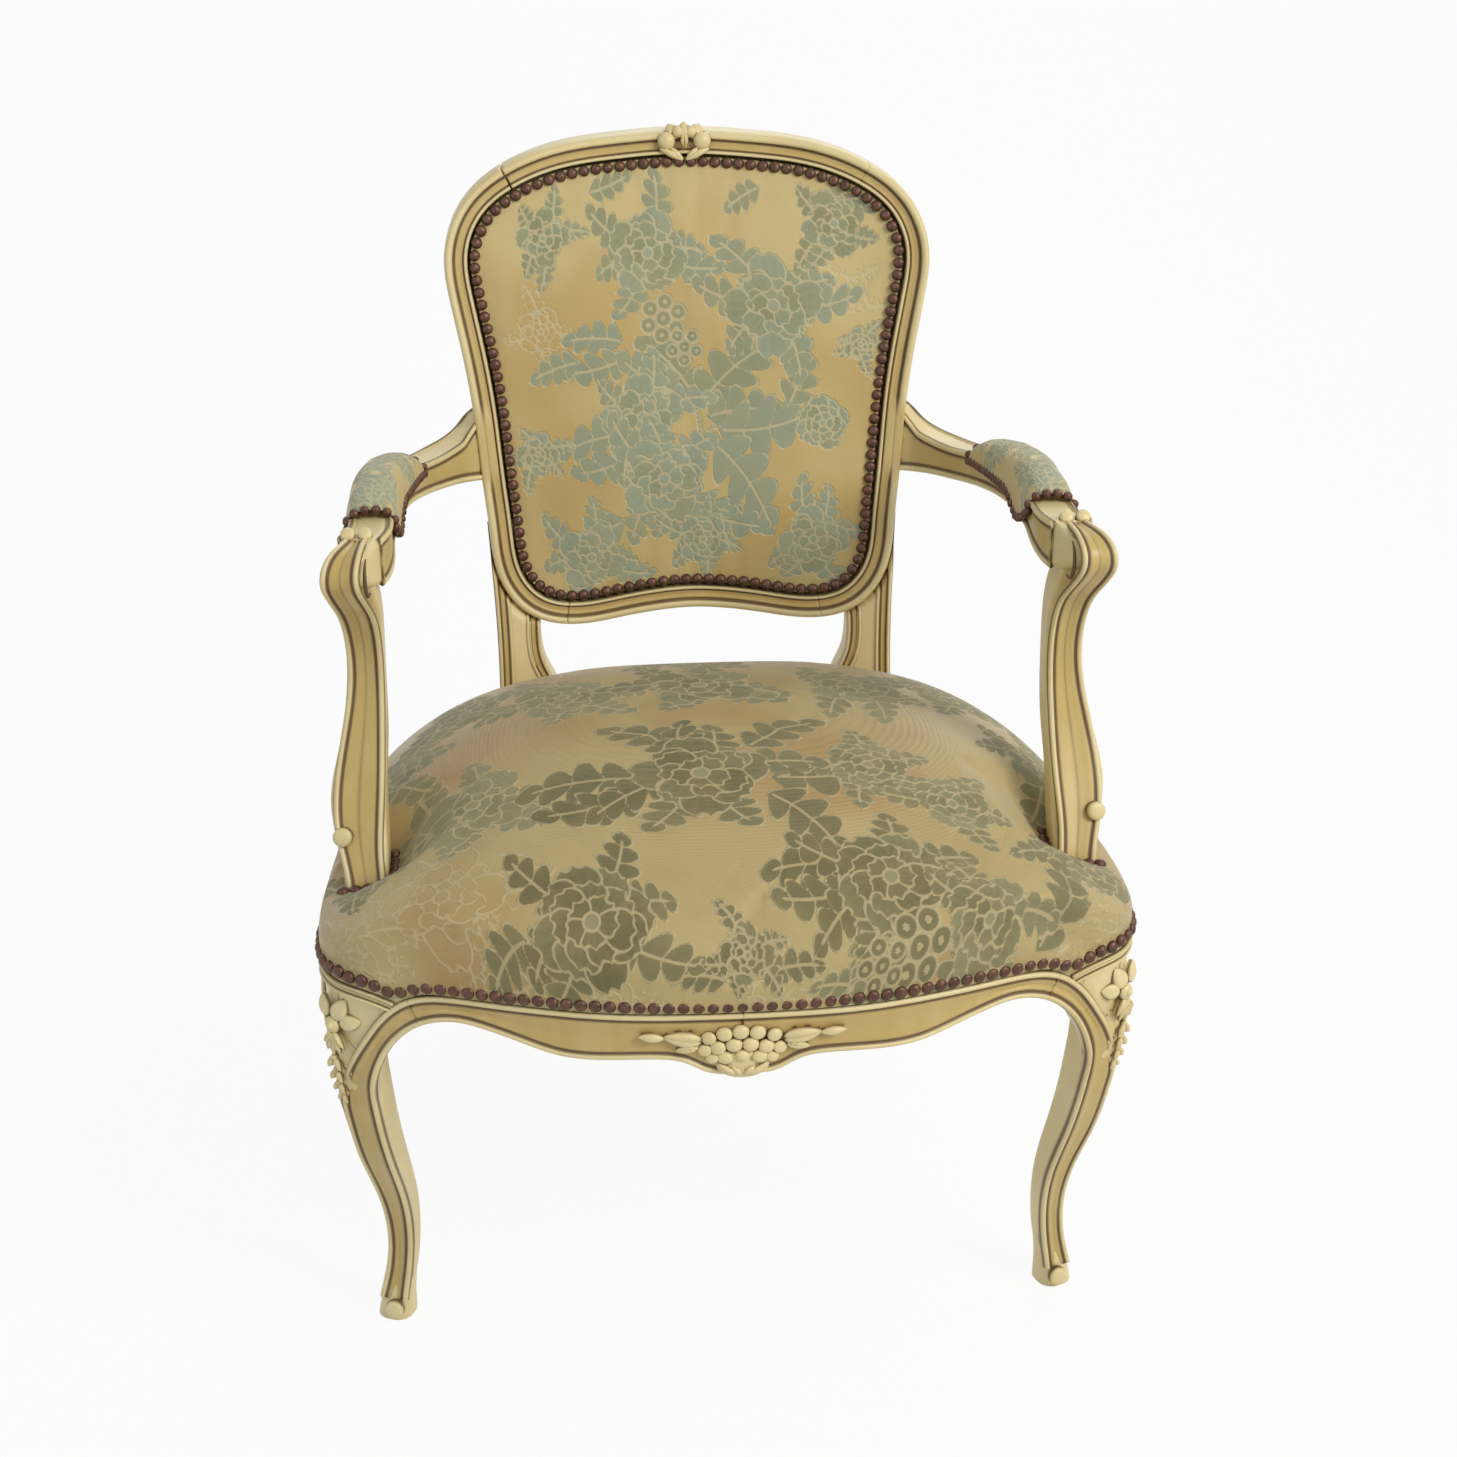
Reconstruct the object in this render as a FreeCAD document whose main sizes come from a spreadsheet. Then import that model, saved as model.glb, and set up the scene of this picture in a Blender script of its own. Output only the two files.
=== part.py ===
import FreeCAD, Part
import math
import os
import Sketcher
from FreeCAD import Placement, Rotation, Vector

# Open armchair with a curved back: carved and painted beech frame, domed seat, padded back and arm rests.
# Millimetres. +Z is up, the chair faces -Y, and the origin is on the floor under the middle of the chair.

doc = FreeCAD.newDocument("armchair")

# Driving dimensions
SIZES = {
    # back: the front face of its frame is a leaning cylinder, hollow towards the sitter
    "back_foot_y": 201.3,
    "back_foot_z": 460.0,
    "back_lean": 12.0,
    "back_radius": 580.0,
    "back_thickness": 30.0,
    "back_wood_width": 26.0,
    "nail_to_rebate": 6.0,
    "nail_to_opening": 14.0,
    "rebate_depth": 11.0,
    "crest_joint_x": 158.0,
    "crest_joint_z": 850.0,
    "crest_joint_lean": 38.0,
    "lower_joint_x": 112.0,
    "back_pad_bulge": 20.0,
    "back_pad_rim": 4.0,
    "crest_flower_z": 874.0,
    "moulding_edge": 6.5,
    "moulding_depth": 2.5,
    # seat frame
    "rail_top_z": 384.0,
    "show_top_z": 359.5,
    "rail_thickness": 42.0,
    "tack_step": 2.5,
    "front_joint_x": 232.0,
    "side_joint_y": 188.0,
    "tenon_length": 24.0,
    "tenon_thickness": 10.0,
    "tenon_height": 34.0,
    "tenon_drop": 6.0,
    "front_tenon_y": 248.0,
    "side_tenon_x": 280.0,
    "rear_side_tenon_y": 170.0,
    "back_tenon_y": 178.0,
    "joint_gap": 0.1,
    # front legs, at the ankle
    "leg_x": 256.0,
    "leg_y": 195.0,
    "leg_turn": 22.0,
    "leg_block_half": 29.0,
    "knob_radius": 7.5,
    # arms
    "arm_pad_height": 14.0,
    "arm_skirt": 11.0,
    # seat upholstery
    "seat_crown_z": 477.0,
    "seat_edge_z": 392.0,
    "cloth": 1.5,
    "soft_gap": 0.3,
    "strap_width": 58.0,
    "strap_thickness": 1.6,
    "hessian_thickness": 1.0,
    "notch_gap": 1.5,
    # fixings
    "nail_head_radius": 4.9,
    "nail_head_rise": 3.0,
    "nail_pitch": 10.3,
    "nail_line_z": 365.5,
    "front_block_leg": 120.0,
    "rear_block_leg": 115.0,
    "block_height": 36.0,
    "block_nose": 14.0,
    "block_top_gap": 4.0,
    "screw_radius": 2.2,
    "screw_head_radius": 4.2,
    "screw_head_height": 2.4,
    "screw_length": 48.0,
    "peg_radius": 3.5,
    "peg_length": 28.0,
    "peg_z": 366.0,
    "dowel_radius": 4.0,
    "dowel_length": 32.0,
}
sheet = doc.addObject("Spreadsheet::Sheet", "sizes")
for row, (alias, value) in enumerate(SIZES.items(), start=1):
    sheet.set(f"A{row}", alias)
    sheet.set(f"B{row}", str(value))
    sheet.setAlias(f"B{row}", alias)
doc.recompute()


def size(alias):
    return float(getattr(sheet, alias))


UP = Vector(0, 0, 1)
LEAN = math.tan(math.radians(size("back_lean")))
TOP = size("rail_top_z")
SHOW = size("show_top_z")
CLOTH = size("cloth")
GAP = size("soft_gap")
# a box that reaches past the chair on every side
REACH = 700.0

# Outlines: half of each, from the middle of one side round to the middle of the other

# the nail line of the back seen from the front, x and z
BACK_NAIL_HALF = [
    (0, 850), (56, 847), (105, 841), (146, 827), (171, 808), (182, 782), (180, 752), (172, 710), (163.5, 655),
    (158, 597), (153, 548), (146, 512), (130, 493), (104, 486), (68, 489), (30, 493.5), (0, 495),
]
# the outer face of the seat frame seen from above, x and y
SEAT_HALF = [
    (0, -317), (60, -315), (105, -309), (150, -297), (200, -281), (250, -265), (284, -251), (299, -231),
    (304, -200), (304, -150), (299, -60), (288, 20), (267, 92), (235, 146), (190, 180), (120, 195), (0, 203),
]
# lower edge of the front rail from the middle to the inside of the leg, x and z
FRONT_LOW_HALF = [
    (0, 311), (24, 311.5), (41, 320), (62, 323), (100, 321.5), (130, 322.5), (155, 329), (180, 336),
    (204, 339.5), (222, 337.5), (236, 329.5), (247, 314), (253, 296), (255, 276),
]
# lower edge of a side rail from the front leg to the rear leg, y and z
SIDE_LOW = [
    (-204, 276), (-201, 296), (-194, 314), (-182, 329), (-166, 337), (-146, 338.5), (-110, 333), (-60, 325),
    (0, 321.5), (60, 323), (120, 329), (200, 332),
]
# outer and inner side of a back post seen from the front, x and z, from the floor up and down again
POST_OUTER = [
    (203, 0), (197, 60), (188, 150), (181, 240), (177, 320), (174, 400), (174, 450), (176, 500), (178.5, 545),
]
POST_INNER = [
    (136, 462), (137, 448), (133, 428), (125, 411), (121, 396), (124, 370), (137, 330), (147, 250), (156, 150),
    (165, 60), (171, 0),
]
# rear leg seen from the side: height, middle and half depth
REAR_LEG = [
    (0, 276, 16), (12, 275, 17), (50, 259, 16), (110, 231, 16.5), (180, 204, 18.5), (250, 188, 20),
    (310, 182, 20), (350, 180.5, 18.5), (384, 181, 16.5),
]
# front leg: height, shift of its middle outwards and backwards from the ankle, half of the section's side
FRONT_LEG = [
    (0, 12, 8, 12.0), (4, 12, 8, 14.0), (14, 11.5, 7.5, 14.8), (30, 10, 6.5, 13.6), (64, 4, 4, 11.8),
    (100, 0, 0, 11.8), (146, 2, -9, 13.6), (190, 9.5, -21, 15.8), (230, 15, -31, 17.0), (265, 18.5, -37, 17.8),
    (300, 20, -38, 18.5), (340, 13, -28, 19.5), (359.5, 11, -24, 19.5),
]
# arm: the middle of its wood from the post to the front, then half width and half height
ARM = [
    (178, 222, 620, 15, 25), (203, 208, 612, 14.5, 18), (228, 172, 612.5, 15, 14.5), (244, 125, 619, 15.5, 14),
    (254, 65, 628, 16, 14), (258, 5, 634, 16, 14.5), (258, -50, 634, 16, 15), (257, -90, 632, 16.5, 17),
    (264, -122, 631, 16.5, 19), (273, -147, 635, 14, 13),
]
# the stretch of the arm's path that carries the pad
PAD_STRETCH = slice(3, 8)
# arm support: its middle from the seat rail up, then half width and half depth
SUPPORT = [
    (270, -149, 384, 16.5, 18), (270, -146, 398, 17, 18), (273, -130, 420, 19.5, 17), (275, -117, 446, 21, 16.5),
    (270, -100, 485, 18, 16), (266, -90, 530, 14.5, 15), (265, -93, 570, 14.5, 15.5), (266, -106, 600, 15.5, 17),
    (268, -118, 622, 15, 17),
]


def offset_closed(points, distance):
    """Each point of a closed outline, moved outwards along its own normal by distance."""
    moved = []
    count = len(points)
    for i, (a, b) in enumerate(points):
        before, after = points[i - 1], points[(i + 1) % count]
        da, db = after[0] - before[0], after[1] - before[1]
        length = math.hypot(da, db)
        moved.append((a + distance * db / length, b - distance * da / length))
    return moved


def whole_outline(half):
    """A closed outline, anticlockwise, from the half of it that has x >= 0."""
    loop = list(half) + [(-a, b) for a, b in reversed(half) if a > 0]
    area = sum(p[0] * q[1] - q[0] * p[1] for p, q in zip(loop, loop[1:] + loop[:1]))
    return loop if area > 0 else loop[::-1]


def closed_spline(points):
    curve = Part.BSplineCurve()
    curve.interpolate(points, PeriodicFlag=True)
    return Part.Wire([curve.toShape()])


def open_spline(points):
    curve = Part.BSplineCurve()
    curve.interpolate(points)
    return curve.toShape()


def line(start, end):
    return Part.LineSegment(start, end).toShape()


def arc(start, middle, end):
    return Part.Arc(start, middle, end).toShape()


def box(x0, x1, y0, y1, z0, z1):
    return Part.makeBox(x1 - x0, y1 - y0, z1 - z0, Vector(x0, y0, z0))


def mirror_x(shape):
    return shape.mirror(Vector(0, 0, 0), Vector(1, 0, 0))


def both_sides(shape):
    return Part.makeCompound(shape.Solids + mirror_x(shape).Solids)


def main_solid(shape):
    """The largest solid of a boolean's result."""
    return max(shape.Solids, key=lambda solid: solid.Volume)


def seat_prism(offset, low, high):
    """Upright prism on the seat frame's outline, grown by offset."""
    points = [Vector(x, y, low) for x, y in offset_closed(whole_outline(SEAT_HALF), offset)]
    return Part.Face(closed_spline(points)).extrude(UP * (high - low))


def seat_band(outer, inner, low, high):
    """Upright band between two offsets of the seat frame's outline."""
    wires = []
    for offset in (outer, inner):
        wires.append(closed_spline([Vector(x, y, low) for x, y in offset_closed(whole_outline(SEAT_HALF), offset)]))
    return Part.makeFace(wires, "Part::FaceMakerBullseye").extrude(UP * (high - low))


def back_outline(offset):
    near = -60.0
    points = [Vector(x, near, z) for x, z in offset_closed(whole_outline(BACK_NAIL_HALF), offset)]
    return closed_spline(points)


def back_prism(offset):
    """Prism along Y on the back's nail line, grown by offset."""
    return Part.Face(back_outline(offset)).extrude(Vector(0, 480, 0))


def back_band(outer, inner):
    """Prism along Y between two offsets of the back's nail line."""
    wires = [back_outline(outer), back_outline(inner)]
    return Part.makeFace(wires, "Part::FaceMakerBullseye").extrude(Vector(0, 480, 0))


def back_axis_y(z):
    """Y of the axis of the back's leaning cylinder at height z."""
    return size("back_foot_y") + (z - size("back_foot_z")) * LEAN - size("back_radius")


def back_point(x, z, depth):
    """Point of the surface that lies behind the back frame's front face by depth."""
    return Vector(x, back_axis_y(z) + math.sqrt((size("back_radius") + depth) ** 2 - x * x), z)


def back_slab(front_depth, rear_depth, low=380.0, high=920.0):
    """Leaning curved plank between two depths behind the back frame's front face."""
    turn = math.radians(28)
    axis_y = back_axis_y(low)
    front, rear = size("back_radius") + front_depth, size("back_radius") + rear_depth

    def on(radius, angle):
        return Vector(radius * math.sin(angle), axis_y + radius * math.cos(angle), low)

    plank = Part.Wire(
        [
            arc(on(front, -turn), on(front, 0), on(front, turn)),
            line(on(front, turn), on(rear, turn)),
            arc(on(rear, turn), on(rear, 0), on(rear, -turn)),
            line(on(rear, -turn), on(front, -turn)),
        ]
    )
    return Part.Face(plank).extrude(Vector(0, LEAN * (high - low), high - low))


def rounded_section(centre, across, up, half_across, half_up, corner):
    """Rectangle with round corners, as four arcs and four lines, in the plane of across and up."""
    flat = corner * (1 - math.sqrt(0.5))

    def at(a, b):
        return centre + across * a + up * b

    edges = []
    corners = []
    for turn, (sign_a, sign_b) in enumerate([(1, 1), (-1, 1), (-1, -1), (1, -1)]):
        on_side = at(sign_a * half_across, sign_b * (half_up - corner))
        on_top = at(sign_a * (half_across - corner), sign_b * half_up)
        middle = at(sign_a * (half_across - flat), sign_b * (half_up - flat))
        corners.append((on_side, middle, on_top) if turn % 2 == 0 else (on_top, middle, on_side))
    for i, (start, middle, end) in enumerate(corners):
        edges.append(arc(start, middle, end))
        edges.append(line(end, corners[(i + 1) % 4][0]))
    return Part.Wire(edges)


def carved_domes(domes):
    """Low round swellings of a carving: place on the face, direction that it faces, radius and rise."""
    balls = []
    for place, facing, radius, rise in domes:
        ball = (radius * radius + rise * rise) / (2 * rise)
        inward = Vector(facing).normalize() * (rise - ball)
        balls.append(Part.makeSphere(ball, Vector(place) + inward))
    return balls


def drilled(start, direction, radius, length):
    """What a drill takes out for a round pin, with the joint's gap all round and 1 mm past its end."""
    return Part.makeCylinder(radius + size("joint_gap"), length + 1, start, direction)


# Fixings: a bound master of each, then where its copies go


def bound(kind, name, **cells):
    thing = doc.addObject(kind, name)
    for prop, expression in cells.items():
        thing.setExpression(prop, expression)
    return thing


def master_pin(name, radius_cell, length_cell):
    return bound("Part::Cylinder", name, Radius="sizes." + radius_cell, Height="sizes." + length_cell)


def master_screw():
    """Wood screw with a flat cheese head; its point is down the +Z axis from the head."""
    shank = master_pin("screw_shank", "screw_radius", "screw_length")
    head = master_pin("screw_head", "screw_head_radius", "screw_head_height")
    screw = doc.addObject("Part::Fuse", "screw")
    screw.Base, screw.Tool = shank, head
    return screw


def master_nail():
    """Domed upholstery nail's head on the XY plane, facing +Z."""
    ball_radius = "(sizes.nail_head_radius ^ 2 + sizes.nail_head_rise ^ 2) / (2 * sizes.nail_head_rise)"
    ball = bound("Part::Sphere", "nail_ball", Radius=ball_radius)
    ball.setExpression("Placement.Base.z", f"sizes.nail_head_rise - {ball_radius}")
    blank = master_pin("nail_blank", "nail_head_radius", "nail_head_rise")
    head = doc.addObject("Part::Common", "nail_head")
    head.Base, head.Tool = ball, blank
    return head


def corner_block(name, leg_cell):
    """Three-cornered glue block with its nose cut off, as a padded sketch."""
    body = doc.addObject("PartDesign::Body", name)
    sketch = body.newObject("Sketcher::SketchObject", name + "_outline")
    plane = next(feature for feature in body.Origin.OriginFeatures if feature.Role == "XY_Plane")
    sketch.AttachmentSupport = [(plane, "")]
    sketch.MapMode = "FlatFace"
    leg, nose = size(leg_cell), size("block_nose")
    corners = [Vector(nose, 0, 0), Vector(leg, 0, 0), Vector(0, leg, 0), Vector(0, nose, 0)]
    for i in range(4):
        sketch.addGeometry(Part.LineSegment(corners[i], corners[(i + 1) % 4]), False)
    for i in range(4):
        sketch.addConstraint(Sketcher.Constraint("Coincident", i, 2, (i + 1) % 4, 1))
    for on_axis, point in ((-1, (0, 1)), (-1, (1, 1)), (-2, (2, 1)), (-2, (3, 1))):
        sketch.addConstraint(Sketcher.Constraint("PointOnObject", point[0], point[1], on_axis))
    lengths = [
        ("nose_x", "DistanceX", (0, 1), "block_nose"),
        ("leg_x", "DistanceX", (1, 1), leg_cell),
        ("leg_y", "DistanceY", (2, 1), leg_cell),
        ("nose_y", "DistanceY", (3, 1), "block_nose"),
    ]
    for label, kind, point, cell in lengths:
        index = sketch.addConstraint(Sketcher.Constraint(kind, -1, 1, point[0], point[1], size(cell)))
        sketch.renameConstraint(index, label)
        sketch.setExpression("Constraints." + label, "sizes." + cell)
    pad = body.newObject("PartDesign::Pad", name + "_pad")
    pad.Profile = sketch
    pad.setExpression("Length", "sizes.block_height")
    return body


PEG = master_pin("peg", "peg_radius", "peg_length")
DOWEL = master_pin("dowel", "dowel_radius", "dowel_length")
SCREW = master_screw()
NAIL = master_nail()
FRONT_BLOCK = corner_block("front_block", "front_block_leg")
REAR_BLOCK = corner_block("rear_block", "rear_block_leg")
doc.recompute()


def copy_at(master, start, direction):
    """A copy of a master whose +Z axis starts at a point and runs in a direction."""
    shape = master.Shape.copy()
    shape.Placement = Placement(Vector(start), Rotation(UP, Vector(direction)))
    return shape.Solids[0]


FRONT_X = size("front_joint_x")
SIDE_Y = -size("side_joint_y")
TENON = size("tenon_length")
POST_SIDE_X = 176.0
POST_INNER_X = 126.0

# pegs of the right half: start and direction
PEGS = [
    (Vector(FRONT_X + TENON / 2, -size("front_tenon_y") - 14, size("peg_z")), Vector(0, 1, 0)),
    (Vector(size("side_tenon_x") + 18, SIDE_Y - TENON / 2, size("peg_z")), Vector(-1, 0, 0)),
    (Vector(POST_SIDE_X - TENON / 2, size("rear_side_tenon_y") - 5, size("peg_z")), Vector(0, 1, 0)),
    (Vector(POST_INNER_X + TENON / 2, size("back_tenon_y") + 18, size("peg_z")), Vector(0, -1, 0)),
]


def dowel_between(middle, ahead):
    """Start and direction of a dowel whose middle is at a joint."""
    direction = Vector(ahead).normalize()
    return middle - direction * (size("dowel_length") / 2), direction


def crest_dowel():
    lean = math.radians(size("crest_joint_lean"))
    x = size("crest_joint_x") - 15.5 * math.sin(lean)
    z = size("crest_joint_z") - 15.5 * math.cos(lean)
    near = back_point(x - 10 * math.cos(lean), z + 10 * math.sin(lean), 20)
    far = back_point(x + 10 * math.cos(lean), z - 10 * math.sin(lean), 20)
    return dowel_between((near + far) * 0.5, far - near)


def lower_dowel():
    near = back_point(size("lower_joint_x") - 10, 473, 19)
    far = back_point(size("lower_joint_x") + 10, 473, 19)
    return dowel_between((near + far) * 0.5, far - near)


def arm_dowel():
    start, end = Vector(*ARM[0][:3]), Vector(*ARM[1][:3])
    return dowel_between(start + (end - start) * 0.42, end - start)


def support_top_dowel():
    return dowel_between(Vector(267, -115, 612), UP)


def support_foot_dowel():
    return dowel_between(Vector(SUPPORT[0][0] + 2, SUPPORT[0][1] + 1, TOP), UP)


BACK_DOWELS = [crest_dowel(), lower_dowel()]
ARM_DOWELS = [arm_dowel(), support_top_dowel(), support_foot_dowel()]

# the long sides of the corner blocks, on the right: a point of each and the way into the wood
FRONT_BLOCK_FACE = (Vector(206, -196, TOP - size("block_top_gap") - size("block_height") / 2), Vector(1, -1, 0))
REAR_BLOCK_FACE = (Vector(190.5, 99.5, TOP - size("block_top_gap") - size("block_height") / 2), Vector(1, 1, 0))
SCREW_SPREAD = 29.0


def block_screws():
    screws = []
    for middle, into in (FRONT_BLOCK_FACE, REAR_BLOCK_FACE):
        inward = Vector(into).normalize()
        along = inward.cross(UP)
        for side in (-1, 1):
            screws.append((middle + along * side * SCREW_SPREAD, inward))
    return screws


BLOCK_SCREWS = block_screws()


def pin_holes(pins, master, radius):
    """Holes for pins, all of one length."""
    return [drilled(start, direction, radius, size(master + "_length")) for start, direction in pins]


PEG_HOLES = pin_holes(PEGS, "peg", size("peg_radius"))
DOWEL_HOLES = pin_holes(BACK_DOWELS + ARM_DOWELS, "dowel", size("dowel_radius"))
for hole, (start, direction) in zip(list(DOWEL_HOLES), BACK_DOWELS + ARM_DOWELS):
    hole.translate(direction * -0.5)
SCREW_HOLES = pin_holes(BLOCK_SCREWS, "screw", size("screw_radius"))
for start, direction in BLOCK_SCREWS:
    head = size("screw_head_height") + size("joint_gap")
    SCREW_HOLES.append(
        Part.makeCylinder(size("screw_head_radius") + size("joint_gap"), head + 20, start - direction * 20, direction)
    )

# Seat frame: rails with a step for the cloth, and a hollow moulding between two raised edges


def frame_ring():
    """The seat frame's band, as tall as the frame, stepped in where the cloth is nailed."""
    low = 250.0
    show_wood = seat_band(0, -size("rail_thickness"), low, SHOW)
    return show_wood.fuse(seat_band(-size("tack_step"), -size("rail_thickness"), SHOW, TOP))


def above_edge(points, top, axis, lift=0.0):
    """Everything over a curved lower edge up to a level top; the edge runs along one axis."""

    def place(a, b):
        return Vector(a, -REACH / 2, b) if axis == "x" else Vector(-REACH / 2, a, b)

    low = [place(a, b + lift) for a, b in points]
    first, last = place(points[0][0], top), place(points[-1][0], top)
    outline = [open_spline(low), line(low[-1], last), line(last, first), line(first, low[0])]
    return Part.Face(Part.Wire(outline)).extrude(Vector(0, REACH, 0) if axis == "x" else Vector(REACH, 0, 0))


FRONT_LOW = [(-x, z) for x, z in reversed(FRONT_LOW_HALF) if x > 0] + FRONT_LOW_HALF
FRONT_ZONE = box(-320, 320, -340, -200, 250, TOP + 1)
SIDE_ZONE = box(150, 320, -204, 199, 250, TOP + 1)


def moulding(points, axis, zone):
    """The hollow that is carved out of a rail's face between its two raised edges."""
    edge = size("moulding_edge")
    skin = seat_band(4, -size("moulding_depth"), 260, SHOW)
    return skin.common(above_edge(points, SHOW - edge, axis, lift=edge)).common(zone)


RING = frame_ring()
FRONT_BAND = RING.common(above_edge(FRONT_LOW, TOP + 1, "x")).common(FRONT_ZONE)
FRONT_BAND = FRONT_BAND.cut(moulding(FRONT_LOW[2:-2], "x", FRONT_ZONE))
SIDE_BAND = RING.common(above_edge(SIDE_LOW, TOP + 1, "y")).common(SIDE_ZONE)
SIDE_BAND = SIDE_BAND.cut(moulding(SIDE_LOW[2:-1], "y", box(150, 320, -204, 150, 250, TOP + 1)))


def tenon(axis, start, end, middle, grow=0.0):
    """Flat tongue on a rail's end along one axis, or its mortise when grow is the joint's gap."""
    half = size("tenon_thickness") / 2 + grow
    high = TOP - size("tenon_drop") + grow
    low = high - size("tenon_height") - 2 * grow
    end = end + grow if end > start else end - grow
    first, last = min(start, end), max(start, end)
    if axis == "x":
        return box(first, last, middle - half, middle + half, low, high)
    return box(middle - half, middle + half, first, last, low, high)


def post_blank():
    """The back post below the back's opening, seen from the front, as a prism along Y."""
    points_up = [Vector(x, -60, z) for x, z in POST_OUTER]
    points_down = [Vector(x, -60, z) for x, z in POST_INNER]
    outline = [open_spline(points_up), line(points_up[-1], points_down[0]), open_spline(points_down)]
    outline.append(line(points_down[-1], points_up[0]))
    return Part.Face(Part.Wire(outline)).extrude(Vector(0, 480, 0))


def rear_leg():
    """The post from the floor to the top of the seat rail."""
    front = [Vector(100, y - half, z) for z, y, half in REAR_LEG]
    rear = [Vector(100, y + half, z) for z, y, half in REAR_LEG]
    outline = [open_spline(front), line(front[-1], rear[-1]), open_spline(rear[::-1]), line(rear[0], front[0])]
    side_view = Part.Face(Part.Wire(outline)).extrude(Vector(140, 0, 0))
    return POST_BLANK.common(side_view)


POST_BLANK = post_blank()
REAR_LEG_SOLID = rear_leg()


def front_rail():
    rail = FRONT_BAND.common(box(-FRONT_X, FRONT_X, -340, -200, 250, TOP + 1))
    face = -313.7
    domes = [((0, face, 334), (0, -1, 0), 11, 6), ((0, face, 319), (0, -1, 0), 8, 5)]
    for side in (-1, 1):
        domes.append(((side * 14, face, 328), (0, -1, 0), 9, 5))
        domes.append(((side * 13, face, 342), (0, -1, 0), 8, 4.5))
        domes.append(((side * 32, face, 338), (side * 0.1, -1, 0), 9, 4))
        domes.append(((side * 49, face + 0.8, 342), (side * 0.15, -1, 0), 8, 3.5))
        domes.append(((side * 66, face + 2, 341), (side * 0.2, -1, 0), 7, 3))
    rail = rail.fuse(carved_domes(domes))
    mortise_y = -size("front_tenon_y")
    rail = rail.fuse([tenon("x", side * (FRONT_X - 3), side * (FRONT_X + TENON), mortise_y) for side in (-1, 1)])
    return main_solid(rail.cut(PEG_HOLES[:1] + [mirror_x(PEG_HOLES[0])] + both_sides_list(SCREW_HOLES)))


def both_sides_list(shapes):
    return list(shapes) + [mirror_x(shape) for shape in shapes]


def side_rail():
    rail = SIDE_BAND.common(box(168, 320, SIDE_Y, 199, 250, TOP + 1)).cut(REAR_LEG_SOLID)
    rail = main_solid(rail)
    rail = rail.fuse(tenon("y", SIDE_Y + 3, SIDE_Y - TENON, size("side_tenon_x")))
    rail = rail.fuse(tenon("x", POST_SIDE_X + 6, POST_SIDE_X - TENON, size("rear_side_tenon_y")))
    return main_solid(rail.cut([PEG_HOLES[1], PEG_HOLES[2], DOWEL_HOLES[4]] + SCREW_HOLES))


def back_rail():
    rail = RING.common(box(-150, 150, 140, 230, 326, TOP + 1)).cut([REAR_LEG_SOLID, mirror_x(REAR_LEG_SOLID)])
    rail = main_solid(rail)
    for side in (-1, 1):
        rail = rail.fuse(
            tenon("x", side * (POST_INNER_X - 8), side * (POST_INNER_X + TENON), size("back_tenon_y"))
        )
    return main_solid(rail.cut([PEG_HOLES[3], mirror_x(PEG_HOLES[3])]))


# Front legs: bowed out at the knee and in at the ankle, with the corner of the seat frame on top


def leg_middle(station):
    z, outwards, backwards, _ = station
    return Vector(size("leg_x") + outwards, -size("leg_y") + backwards, z)


def front_leg():
    turn = math.radians(size("leg_turn"))
    across, forward = Vector(math.cos(turn), math.sin(turn), 0), Vector(-math.sin(turn), math.cos(turn), 0)
    sections = [
        rounded_section(leg_middle(station), across, forward, station[3], station[3], 0.5 * station[3])
        for station in FRONT_LEG
    ]
    shaft = Part.makeLoft(sections, True, False)
    half = size("leg_block_half")
    block = box(267 - half, 267 + half, -217 - half, -217 + half, 306, TOP)
    inside = seat_prism(-size("tack_step"), 295, TOP).fuse(seat_prism(0, 255, SHOW))
    ears = FRONT_BAND.common(box(FRONT_X, 320, -340, -200, 250, TOP))
    ears = ears.fuse(SIDE_BAND.common(box(150, 320, -340, SIDE_Y, 250, TOP)))
    leg = shaft.fuse([block.common(inside), ears])
    foot = leg_middle(FRONT_LEG[3])
    knob = Part.makeCylinder(
        size("knob_radius"), 12, foot + Vector(-1, -FRONT_LEG[3][3] + 6, 2), Vector(0.1, -1, -0.1)
    )
    facing = Vector(0.35, -1, 0)
    knee = Vector(293, -241, 322)
    domes = [
        (knee, facing, 8, 4.5), (knee + Vector(-11, -4, 8), facing, 7, 4), (knee + Vector(-2, -1, 18), facing, 8, 4),
        (knee + Vector(2, 3, -15), facing, 7, 4), (knee + Vector(2, 4, -30), facing, 6, 3.5),
        (knee + Vector(1, 6, -44), facing, 5, 3),
    ]
    leg = leg.fuse([knob] + carved_domes(domes))
    step = seat_band(16, -size("tack_step"), SHOW, TOP + 1)
    grow = size("joint_gap")
    mortises = [
        tenon("x", FRONT_X - 5, FRONT_X + TENON, -size("front_tenon_y"), grow),
        tenon("y", SIDE_Y + 5, SIDE_Y - TENON, size("side_tenon_x"), grow),
    ]
    return main_solid(leg.cut([step] + mortises + PEG_HOLES[:2] + SCREW_HOLES))


# Back: two posts that are also the rear legs, a crest rail and a lower rail


def joint_side(inner):
    """Everything on one side of the leaning joint between the crest rail and the right post."""
    slab = Part.makeBox(REACH, REACH, 2 * REACH, Vector(-REACH if inner else 0, -150, -REACH))
    middle = Vector(size("crest_joint_x"), 0, size("crest_joint_z"))
    slab.Placement = Placement(middle, Rotation(Vector(0, 1, 0), size("crest_joint_lean")))
    return slab


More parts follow.
